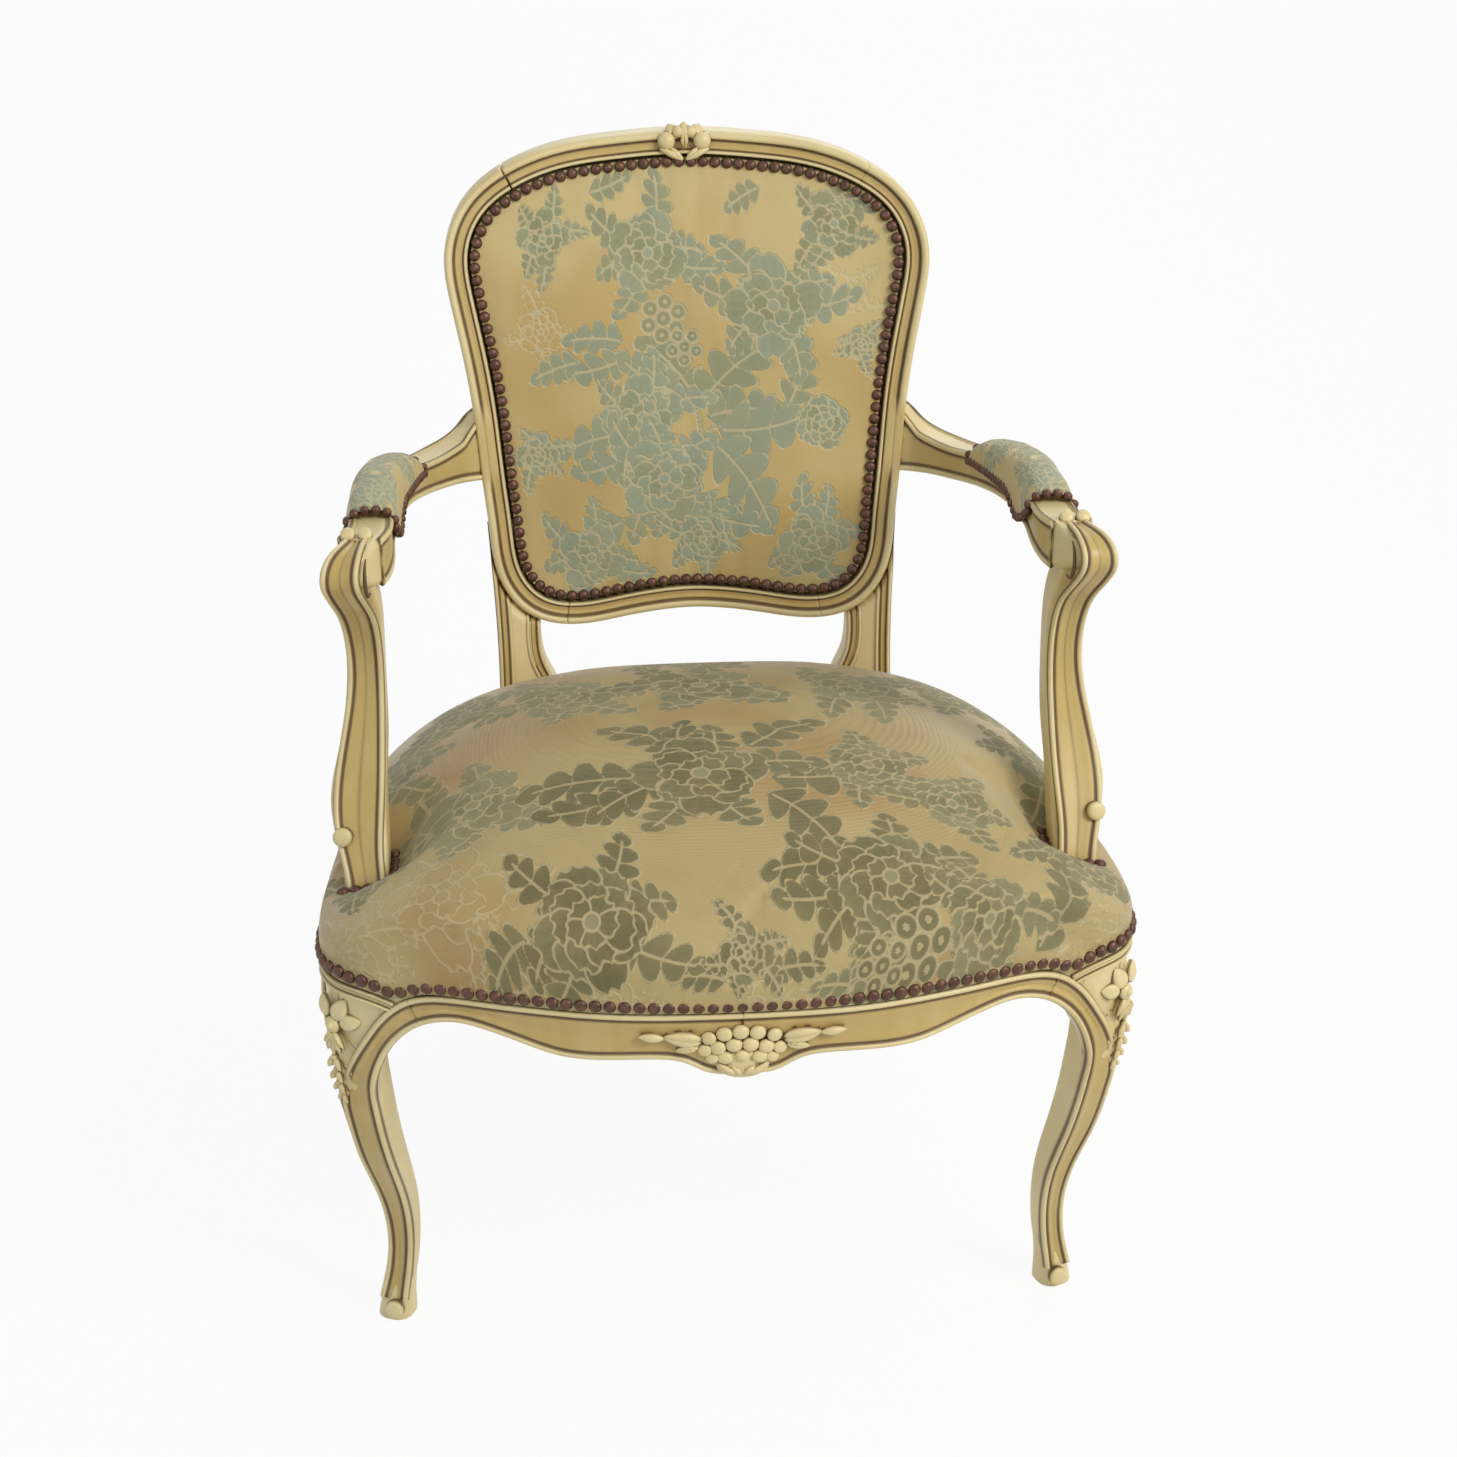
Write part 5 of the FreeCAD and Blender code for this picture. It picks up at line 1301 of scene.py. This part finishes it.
SUPPORT_NAILS = [
    (287, -170.5), (278, -171.5), (262, -171.5), (252.5, -168), (250.5, -158), (250, -140), (250.5, -128),
]


def seat_nail_row(seat_surface):
    closed = np.vstack([SEAT_LINE, SEAT_LINE[:1]])
    out = np.vstack([SEAT_OUT, SEAT_OUT[:1]])
    z = nail_height(closed[:, 0], closed[:, 1])
    rows = spaced(np.c_[closed + out * -0.9, z, out], NAIL_PITCH, closed=True)
    rows = rows[~((np.abs(rows[:, 0]) > 114) & (np.abs(rows[:, 0]) < 188) & (rows[:, 1] > 148))]
    spots, facing = rows[:, :3], np.c_[rows[:, 3:], np.zeros(len(rows))]
    round_support = spline(SUPPORT_NAILS, 60, along=2)
    for side in (-1, 1):
        for x, y in spaced(round_support, 10.0):
            spot, normal, *_ = seat_surface.ray_cast(Vector((x * side, y, 600)), Vector((0, 0, -1)))
            normal = np.array(normal) * np.sign(normal[2])
            spots = np.vstack([spots, np.array(spot) + normal * 0.4])
            facing = np.vstack([facing, normal])
    return spots, facing


def back_nail_row(depth, facing):
    closed = np.vstack([BACK_LINE, BACK_LINE[:1]])
    rows = spaced(np.c_[closed, np.zeros(len(closed))], NAIL_PITCH, closed=True)
    x, z = rows[:, 0], rows[:, 1]
    y = back_y(x, z, depth)
    rearwards = np.sqrt(BACK_RADIUS**2 - x**2)
    out = np.c_[x, rearwards, -LEAN * rearwards]
    return np.c_[x, y, z], unit(out) * facing


def pad_nail_row():
    points, _, across, up = pad_grid(120, 30)
    inner, outer = points[4:, -1], points[4:, 0]
    found = []
    for row, sign in ((inner, 1), (outer, -1)):
        lift = np.c_[row + across[4:] * sign * 0.3 + up[4:] * 3.0, across[4:] * sign + up[4:] * 0.15]
        rows = spaced(lift, PAD_NAIL_PITCH)
        found.append((rows[:, :3], rows[:, 3:]))
    ahead = unit(ARM_PATH[PAD_ROWS.stop, :3] - ARM_PATH[PAD_ROWS.stop - 3, :3])
    behind = -unit(ARM_PATH[50, :3] - ARM_PATH[46, :3]) + [0, 0, 0.6]
    for end, towards in ((points[-1, 3:-3] + ahead * 0.6, ahead), (points[3, 4:-4], behind)):
        rows = spaced(end, PAD_NAIL_PITCH)
        found.append((rows, np.tile(towards, (len(rows), 1))))
    return np.vstack([spots for spots, _ in found]), np.vstack([facing for _, facing in found])


# Webbing and hessian


def strap(centre, across, normal, half, thick):
    """Flat woven strap: a thin rectangle carried along its line."""
    corners = [
        (-1, -0.5), (-0.33, -0.5), (0.33, -0.5), (1, -0.5), (1, 0.5), (0.33, 0.5), (-0.33, 0.5), (-1, 0.5)
    ]
    points = np.stack([centre + across * half * a + normal * thick * b for a, b in corners], 1)
    return grid(points)


def seat_straps(axis, middles, z):
    parts = []
    inside = SEAT_LINE - SEAT_OUT * 9.0
    for middle in middles:
        a, b = (0, 1) if axis == "y" else (1, 0)
        edge = inside[np.abs(inside[:, a] - middle) < 31, b]
        low, high = edge[edge < -20].max(), edge[edge > -20].min()
        if axis == "y" and abs(middle) > 150:
            high = min(high, 150)
        run = np.linspace(low, high, 90)
        centre = np.zeros((90, 3))
        centre[:, a], centre[:, b], centre[:, 2] = middle, run, z
        across = np.eye(3)[a]
        parts.append(strap(centre, across, np.array([0, 0, 1.0]), 28, 1.4))
    return merge(parts)


def back_straps():
    parts = []
    for z in (575, 668, 761):
        reach = np.abs(BACK_LINE[np.abs(BACK_LINE[:, 1] - z) < 4, 0]).min() - 2
        x = np.linspace(-reach, reach, 50)
        centre = np.stack([x, back_y(x, z, 10.3), np.full(50, float(z))], 1)
        parts.append(strap(centre, np.array([0, 0, 1.0]), np.array([0, -1.0, 0]), 23, 1.0))
    for x in (-62.0, 62.0):
        z = np.linspace(496, 840, 50)
        centre = np.stack([np.full(50, x), back_y(np.full(50, x), z, 8.9), z], 1)
        parts.append(strap(centre, np.array([1.0, 0, 0]), np.array([0, -1.0, 0]), 23, 1.0))
    return merge(parts)


def hessian_part():
    points, _ = seat_cloth_grid(60)
    points[..., :2] = SEAT_CENTRE + (points[..., :2] - SEAT_CENTRE) * 0.94
    points[..., 2] = 388.2
    quads, walls = sheet_faces(points.shape[0])
    rows = points.reshape(-1, 3)
    faces = np.vstack([quads, quads[:, ::-1] + len(rows), walls[:, ::-1]])
    part = [np.vstack([rows, rows + [0, 0, -0.9]]), faces, NO_TRIS, np.zeros((2 * len(rows), 2))]
    return flipped(part) if volume(part) < 0 else part


# Materials


class Value:
    """A shader socket that takes part in sums: each operator adds a Math node."""

    def __init__(self, shade, socket):
        self.shade, self.socket = shade, socket

    def math(self, operation, other):
        return self.shade.node("ShaderNodeMath", {"operation": operation}, [self, other])

    def __add__(self, other):
        return self.math("ADD", other)

    def __mul__(self, other):
        return self.math("MULTIPLY", other)

    def __sub__(self, other):
        return self.math("SUBTRACT", other)

    def __rsub__(self, other):
        return self.shade.node("ShaderNodeMath", {"operation": "SUBTRACT"}, [other, self])

    __radd__, __rmul__ = __add__, __mul__

    def above(self, low, high):
        """0 below low, 1 above high, smooth between."""
        return self.shade.node(
            "ShaderNodeMapRange", {"interpolation_type": "SMOOTHSTEP"},
            {"Value": self, "From Min": low, "From Max": high}
        )


class Shade:
    """A material under construction."""

    def __init__(self, name, **fixed):
        self.material = bpy.data.materials.new(name)
        self.material.use_nodes = True
        self.tree = self.material.node_tree
        self.surface = self.tree.nodes["Principled BSDF"]
        for socket, value in fixed.items():
            self.surface.inputs[socket.replace("_", " ")].default_value = value
        self.place = self.node("ShaderNodeTexCoord", {}, {}, "Object")

    def node(self, kind, settings, values, output=0):
        made = self.tree.nodes.new(kind)
        for key, value in settings.items():
            setattr(made, key, value)
        pairs = values.items() if isinstance(values, dict) else enumerate(values)
        for key, value in pairs:
            if isinstance(value, Value):
                self.tree.links.new(value.socket, made.inputs[key])
            else:
                made.inputs[key].default_value = value
        return Value(self, made.outputs[output])

    def noise(self, scale, detail=3.0, stretch=(1, 1, 1), rough=0.5):
        where = self.node("ShaderNodeMapping", {}, {"Vector": self.place, "Scale": stretch})
        values = {"Vector": where, "Scale": scale, "Detail": detail, "Roughness": rough}
        return self.node("ShaderNodeTexNoise", {}, values, "Fac")

    def wave(self, scale, direction, wobble=0.0):
        return self.node(
            "ShaderNodeTexWave", {"bands_direction": direction},
            {"Vector": self.place, "Scale": scale, "Distortion": wobble, "Detail": 1.0}, "Fac",
        )

    def attribute(self, name):
        return self.node("ShaderNodeAttribute", {"attribute_name": name}, {}, "Fac")

    def mix(self, factor, first, second):
        made = self.tree.nodes.new("ShaderNodeMix")
        made.data_type = "RGBA"
        made.clamp_factor = True
        for socket, value in zip((made.inputs[0], made.inputs[6], made.inputs[7]), (factor, first, second)):
            if isinstance(value, Value):
                self.tree.links.new(value.socket, socket)
            elif isinstance(value, tuple):
                socket.default_value = (*value, 1.0)
            else:
                socket.default_value = value
        return Value(self, made.outputs[2])

    def bump(self, height, distance, strength=1.0):
        return self.node(
            "ShaderNodeBump", {}, {"Height": height, "Distance": distance, "Strength": strength}, "Normal"
        )

    def finish(self, **sockets):
        for socket, value in sockets.items():
            self.tree.links.new(value.socket, self.surface.inputs[socket.replace("_", " ")])
        return self.material


CREAM, OCHRE, GLAZE_AND_SHADE_BROWN = (0.79, 0.67, 0.36), (0.52, 0.37, 0.11), (0.11, 0.055, 0.018)


def painted_wood():
    shade = Shade("cream_paint_with_glaze_and_painted_shade", Coat_Weight=0.12, Coat_Roughness=0.3)
    blotch, fine = shade.noise(14, 4), shade.noise(160, 3)
    streak = shade.noise(60, 3, (1, 1, 0.15))
    glaze_and_shade, wash = shade.attribute("glaze_and_shade"), shade.attribute("wash")
    worn = (fine * 0.5 + blotch * 0.5).above(0.62, 0.72)
    colour = shade.mix(blotch.above(0.35, 0.7) * 0.6, CREAM, (0.68, 0.54, 0.25))
    colour = shade.mix(wash * (0.6 + streak * 0.5), colour, OCHRE)
    # glaze and painted shade: the glaze attribute holds the mouldings' glaze and the ray-cast occlusion shade of
    # hollows and joints, and darkens the colour towards brown
    colour = shade.mix((glaze_and_shade * (0.6 + blotch * 0.8)).above(0.05, 1.0) * 0.95, colour, GLAZE_AND_SHADE_BROWN)
    colour = shade.mix(worn * 0.22 * (1 - glaze_and_shade), colour, (0.50, 0.36, 0.17))
    height = streak * 0.4 + fine * 0.3
    return shade.finish(
        Base_Color=colour, Roughness=0.36 + blotch * 0.12 + glaze_and_shade * 0.2,
        Normal=shade.bump(height, 0.0005, 0.35)
    )


def damask(name, ground, warm, motif, motif_second, outline):
    shade = Shade(name, Sheen_Weight=0.25, Sheen_Roughness=0.4)
    leaf, line, tone = shade.attribute("leaf"), shade.attribute("line"), shade.attribute("tone")
    patch, cloudy, grainy = shade.noise(7, 2), shade.noise(26, 3), shade.noise(420, 2)
    inside = (leaf + (grainy - 0.5) * 1.2).above(-0.4, 0.4)
    edge = 1 - (line + (grainy - 0.5) * 0.9).above(0.75, 1.75)
    warp = shade.wave(520, "X")
    weft = shade.wave(300, "Z", 0.6)
    colour = shade.mix(patch.above(0.45, 0.72), ground, warm)
    colour = shade.mix(cloudy.above(0.4, 0.8) * 0.3, colour, tuple(0.75 * c for c in ground))
    leaf_colour = shade.mix(tone + (patch - 0.5) * 0.5, motif, motif_second)
    leaf_colour = shade.mix(
        cloudy.above(0.4, 0.8) * 0.3, leaf_colour, tuple(0.7 * g + 0.3 * m for g, m in zip(ground, motif))
    )
    colour = shade.mix(inside * 0.94, colour, leaf_colour)
    colour = shade.mix(edge * 0.72, colour, outline)
    colour = shade.mix((1 - warp * weft) * 0.2, colour, tuple(0.4 * c for c in ground))
    height = inside * 0.5 + edge * 0.6 + warp * weft * 0.25 + grainy * 0.25
    return shade.finish(
        Base_Color=colour, Roughness=0.46 + inside * 0.3 - edge * 0.06,
        Normal=shade.bump(height, 0.0009, 0.75)
    )


def nail_metal():
    shade = Shade("patinated_nail", Metallic=0.55)
    patina = shade.noise(260, 3)
    colour = shade.mix(patina.above(0.35, 0.75), (0.085, 0.04, 0.028), (0.17, 0.085, 0.05))
    return shade.finish(
        Base_Color=colour, Roughness=0.34 + patina * 0.2, Normal=shade.bump(patina, 0.0003, 0.4)
    )


def woven(name, light, dark, scale):
    shade = Shade(name)
    warp, weft = shade.wave(scale, "X", 0.4), shade.wave(scale, "Y", 0.4)
    fluff = shade.noise(180, 3)
    colour = shade.mix(warp * weft + (fluff - 0.5) * 0.6, dark, light)
    return shade.finish(
        Base_Color=colour, Roughness=0.85 + fluff * 0.1,
        Normal=shade.bump(warp * weft + fluff * 0.4, 0.0006, 0.8)
    )


def bare_wood():
    shade = Shade("bare_beech")
    grain = shade.noise(30, 5, (1, 1, 0.12), 0.6)
    fleck = shade.noise(220, 2, (1, 1, 0.2))
    colour = shade.mix(grain.above(0.3, 0.7), (0.34, 0.2, 0.1), (0.5, 0.33, 0.18))
    colour = shade.mix(fleck.above(0.6, 0.75) * 0.4, colour, (0.25, 0.14, 0.07))
    return shade.finish(
        Base_Color=colour, Roughness=0.6 + grain * 0.15, Normal=shade.bump(grain + fleck * 0.3, 0.0005, 0.5)
    )


def steel():
    shade = Shade("screw_steel", Metallic=1.0)
    scratch = shade.noise(300, 3)
    colour = shade.mix(scratch, (0.35, 0.34, 0.33), (0.55, 0.54, 0.52))
    return shade.finish(Base_Color=colour, Roughness=0.3 + scratch * 0.25)


PAINT, NAIL = painted_wood(), nail_metal()
SEAT_DAMASK = damask(
    "seat_damask", (0.56, 0.44, 0.19), (0.46, 0.29, 0.10), (0.13, 0.12, 0.045), (0.31, 0.31, 0.17),
    (0.64, 0.53, 0.28)
)
BACK_DAMASK = damask(
    "back_damask", (0.70, 0.56, 0.25), (0.62, 0.43, 0.15), (0.27, 0.28, 0.14), (0.36, 0.45, 0.35),
    (0.70, 0.61, 0.36)
)
JUTE = woven("jute_webbing", (0.45, 0.33, 0.18), (0.22, 0.15, 0.07), 260)
HESSIAN = woven("hessian_cloth", (0.42, 0.32, 0.19), (0.18, 0.12, 0.06), 300)
BEECH, STEEL = bare_wood(), steel()

# Wood pieces, then the painted shade and glaze that darken their hollows


GOLDEN_ANGLE = 2.399963


def add_glaze_and_painted_shade(pieces_parts):
    """Adds dark glaze colour where short rays from the surface soon meet wood, as in a carved hollow or a joint:
    painted shade from ray-cast occlusion, which also stands for glaze settled there.
    """
    all_verts, all_quads, all_tris, _ = merge([part for parts in pieces_parts.values() for part in parts])
    tree = BVHTree.FromPolygons(all_verts.tolist(), all_quads.tolist() + all_tris.tolist())
    reach = 4.5
    turn = np.arange(6) * GOLDEN_ANGLE
    tilt = np.linspace(0.25, 1.25, 6)
    local = np.stack([np.cos(turn) * np.sin(tilt), np.sin(turn) * np.sin(tilt), np.cos(tilt)], 1)
    for parts in pieces_parts.values():
        for part in parts:
            verts, quads, tris, shade = part
            normal = np.zeros_like(verts)
            for corners in (quads[:, [0, 1, 2]], quads[:, [0, 2, 3]], tris):
                n = np.cross(
                    verts[corners[:, 1]] - verts[corners[:, 0]], verts[corners[:, 2]] - verts[corners[:, 0]]
                )
                for k in range(3):
                    np.add.at(normal, corners[:, k], n)
            normal = unit(normal)
            side = unit(np.cross(normal, (0.36, 0.48, 0.8)))
            up = np.cross(normal, side)
            starts = verts + normal * 0.12
            total = np.zeros(len(verts))
            for a, b, c in local:
                ways = side * a + up * b + normal * c
                found = [
                    tree.ray_cast(o, d, reach)[3] for o, d in zip(map(Vector, starts), map(Vector, ways))
                ]
                total += np.array([0.0 if f is None else 1 - f / reach for f in found])
            # the occlusion is painted shade, added on top of the glaze values
            shade[:, 0] = np.clip(shade[:, 0] + smoothstep(0.25, 0.85, total / len(local)) * 0.9, 0, 1)


CREST_JOINT, LOWER_JOINT = (146, 827), (110, 486)
crest_run = stretch_between(CREST_JOINT, (-CREST_JOINT[0], CREST_JOINT[1]))
lower_run = stretch_between((-LOWER_JOINT[0], LOWER_JOINT[1]), LOWER_JOINT)
side_run = stretch_between(LOWER_JOINT, CREST_JOINT)

WOOD = {
    "crest_carved": [ring_stretch(crest_run)] + crest_flower(),
    "lower_back_carved": [ring_stretch(lower_run)],
    "back_post_carved_right": [ring_stretch(side_run), post_body()] + post_lower(),
    "arm_carved_right": arm_parts() + volutes() + [crescent()],
    "arm_support_carved_right": [
        support_body(), tip_strip(), dome((286.5, -147.5, 425), (0.2, -1, 0.3), 7.4, 5.0, flat=0.6)
    ],
    "front_leg_carved_right": [
        leg_body(), corner_body(), front_band(False), side_band(False), ear_strip(), foot_disc()
    ] + knee_carving(),
    "front_rail_carved": front_rail_parts() + bouquet(),
}


def side_rail_part():
    chosen = (SEAT_LINE[:, 0] > 176) & (SEAT_LINE[:, 1] > -188.4) & (SEAT_LINE[:, 1] < 190)
    line, out = SEAT_LINE[chosen], SEAT_OUT[chosen]
    return rail_body(
        curve_of(SIDE_LOW, line[:, 1]) + 1, SHOW, line - out * BODY_INSET, line - out * RAIL_DEPTH
    )


def back_rail_part():
    chosen = (np.abs(SEAT_LINE[:, 0]) < 126) & (SEAT_LINE[:, 1] > 150)
    line, out = SEAT_LINE[chosen], SEAT_OUT[chosen]
    return rail_body(np.full(len(line), 327.0), SHOW, line - out * 0.5, line - out * RAIL_DEPTH)


WOOD["side_rail_carved_right"] = [side_rail_part(), side_band(True)]
WOOD["back_rail_plain"] = [back_rail_part()]
NODES = {
    "crest_carved": ["crest_rail"], "lower_back_carved": ["lower_back_rail"],
    "front_rail_carved": ["front_rail"],
    "back_rail_plain": ["back_rail"],
}
for name in ("back_post", "arm", "arm_support", "front_leg", "side_rail"):
    for side in ("left", "right"):
        NODES[f"{name}_carved_{side}"] = [f"{name}_{side}"]
# paints shade into the hollows and joints of the wood, on top of the glaze
add_glaze_and_painted_shade(WOOD)
for name, parts in list(WOOD.items()):
    if name.endswith("_right"):
        WOOD[name[:-5] + "left"] = [mirrored(part) for part in parts]
for name, parts in WOOD.items():
    make(name, merge(parts), PAINT, NODES[name])

seat_surface = seat_cushion(SEAT_DAMASK)
back_cushion(BACK_DAMASK)
outside_back(BACK_DAMASK)
for side in (1, -1):
    arm_pad(BACK_DAMASK, side)
nails("seat_nail_row", *seat_nail_row(seat_surface), NAIL, ("seat_nails",))
nails("back_nail_row", *back_nail_row(3.0, -1), NAIL, ("back_front_nails",))
nails("back_rear_nail_row", *back_nail_row(32.0, 1), NAIL, ("back_rear_nails",))
pad_spots, pad_facing = pad_nail_row()
for side, label in ((1, "right"), (-1, "left")):
    turned_spots, turned_facing = pad_spots * [side, 1, 1], pad_facing * [side, 1, 1]
    nails("arm_nail_row_" + label, turned_spots, turned_facing, NAIL, ("arm_pad_nails_" + label,), 3.6, 2.4)
make(
    "webbing_lengthwise", seat_straps("y", (-205, -88, 0, 88, 205), 384.9), JUTE,
    ("seat_webbing_lengthwise",)
)
make(
    "webbing_crosswise", seat_straps("x", (-200, -92, -12, 62, 128), 386.6), JUTE,
    ("seat_webbing_crosswise",)
)
make("back_webbing_straps", back_straps(), JUTE, ("back_webbing",))
hessian = make("hessian_sheet", hessian_part(), HESSIAN, ("seat_hessian",))
for node in ("corner_blocks", "joint_pegs", "back_dowels", "arm_dowels", "corner_block_screws"):
    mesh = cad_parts[node].data
    mesh.materials.clear()
    mesh.materials.append(STEEL if node == "corner_block_screws" else BEECH)

# Floor, light and camera


def backdrop():
    """Pale floor that turns up into a wall: white to the camera, a plain pale grey to the light."""
    run = np.array([(-3500, 0), (1500, 0), (2200, 60), (2700, 400), (2900, 1200), (2900, 4000)], float)
    line = spline(np.c_[np.zeros(6), run], 60)
    x = np.linspace(-4000, 4000, 3)
    points = np.stack([np.stack([np.full(60, k), line[:, 1], line[:, 2]], 1) for k in x], 1)
    return make_stage("backdrop", grid(points, across_loop=False))


def make_stage(name, part):
    piece = linked(name, part[0], part[1].tolist())
    smoothed(piece.data)
    return piece


def floor_material(piece):
    """Pale grey to the light; an even white to camera, glossy and transmission rays."""
    material = bpy.data.materials.new("pale_floor")
    material.use_nodes = True
    tree = material.node_tree
    surface, output = tree.nodes["Principled BSDF"], tree.nodes["Material Output"]
    surface.inputs["Base Color"].default_value = (0.8, 0.8, 0.8, 1)
    surface.inputs["Roughness"].default_value = 0.9
    path, glow, mix, most = (
        tree.nodes.new("ShaderNode" + kind) for kind in ("LightPath", "Emission", "MixShader", "Math")
    )
    most.operation = "MAXIMUM"
    glow.inputs["Color"].default_value = (1, 1, 1, 1)
    glow.inputs["Strength"].default_value = 1.0
    tree.links.new(path.outputs["Is Glossy Ray"], most.inputs[0])
    tree.links.new(path.outputs["Is Transmission Ray"], most.inputs[1])
    share = tree.nodes.new("ShaderNodeMath")
    share.operation = "MULTIPLY_ADD"
    share.inputs[1].default_value = 0.93
    tree.links.new(path.outputs["Is Camera Ray"], share.inputs[0])
    tree.links.new(most.outputs[0], share.inputs[2])
    share.use_clamp = True
    tree.links.new(share.outputs[0], mix.inputs["Fac"])
    tree.links.new(surface.outputs[0], mix.inputs[1])
    tree.links.new(glow.outputs[0], mix.inputs[2])
    tree.links.new(mix.outputs[0], output.inputs["Surface"])
    piece.data.materials.append(material)


floor_material(backdrop())


def lamp(name, place, target, size, power, colour=(1, 1, 1)):
    data = bpy.data.lights.new(name, "AREA")
    data.size, data.energy, data.color = size, power, colour
    light = bpy.data.objects.new(name, data)
    bpy.context.scene.collection.objects.link(light)
    light.location = place
    light.rotation_euler = (Vector(target) - Vector(place)).to_track_quat("-Z", "Y").to_euler()


scene = bpy.context.scene
scene.view_settings.view_transform = "Standard"
world = bpy.data.worlds.new("studio")
world.use_nodes = True
tree = world.node_tree
tree.nodes["Background"].inputs["Color"].default_value = (1, 1, 1, 1)
studio_light, glow = tree.nodes["Background"], tree.nodes.new("ShaderNodeBackground")
studio_light.inputs["Strength"].default_value = 0.40
glow.inputs["Color"].default_value = (1, 1, 1, 1)
path, either, seen, mix = (
    tree.nodes.new("ShaderNode" + kind) for kind in ("LightPath", "Math", "Math", "MixShader")
)
either.operation = seen.operation = "MAXIMUM"
tree.links.new(path.outputs["Is Camera Ray"], either.inputs[0])
tree.links.new(path.outputs["Is Glossy Ray"], either.inputs[1])
tree.links.new(either.outputs[0], seen.inputs[0])
tree.links.new(path.outputs["Is Transmission Ray"], seen.inputs[1])
tree.links.new(seen.outputs[0], mix.inputs["Fac"])
tree.links.new(studio_light.outputs[0], mix.inputs[1])
tree.links.new(glow.outputs[0], mix.inputs[2])
tree.links.new(mix.outputs[0], tree.nodes["World Output"].inputs["Surface"])
scene.world = world
lamp("key", (1.9, -1.7, 2.3), (0, 0, 0.45), 1.2, 54, (1.0, 0.97, 0.9))
lamp("fill", (-2.2, -2.0, 1.4), (0, 0, 0.4), 2.5, 9, (0.93, 0.96, 1.0))
lamp("rear", (0.6, 2.2, 2.2), (0, 0, 0.5), 2.0, 14)

camera = bpy.data.objects.new("camera", bpy.data.cameras.new("camera"))
scene.collection.objects.link(camera)
camera.data.sensor_width = 36.0
camera.data.lens = 53.54
camera.location = (-0.1147, -1.6226, 1.1476)
camera.rotation_euler = (math.radians(90 - 23.51), 0, math.radians(-4.58))
camera.data.clip_start, camera.data.clip_end = 0.05, 50
scene.camera = camera
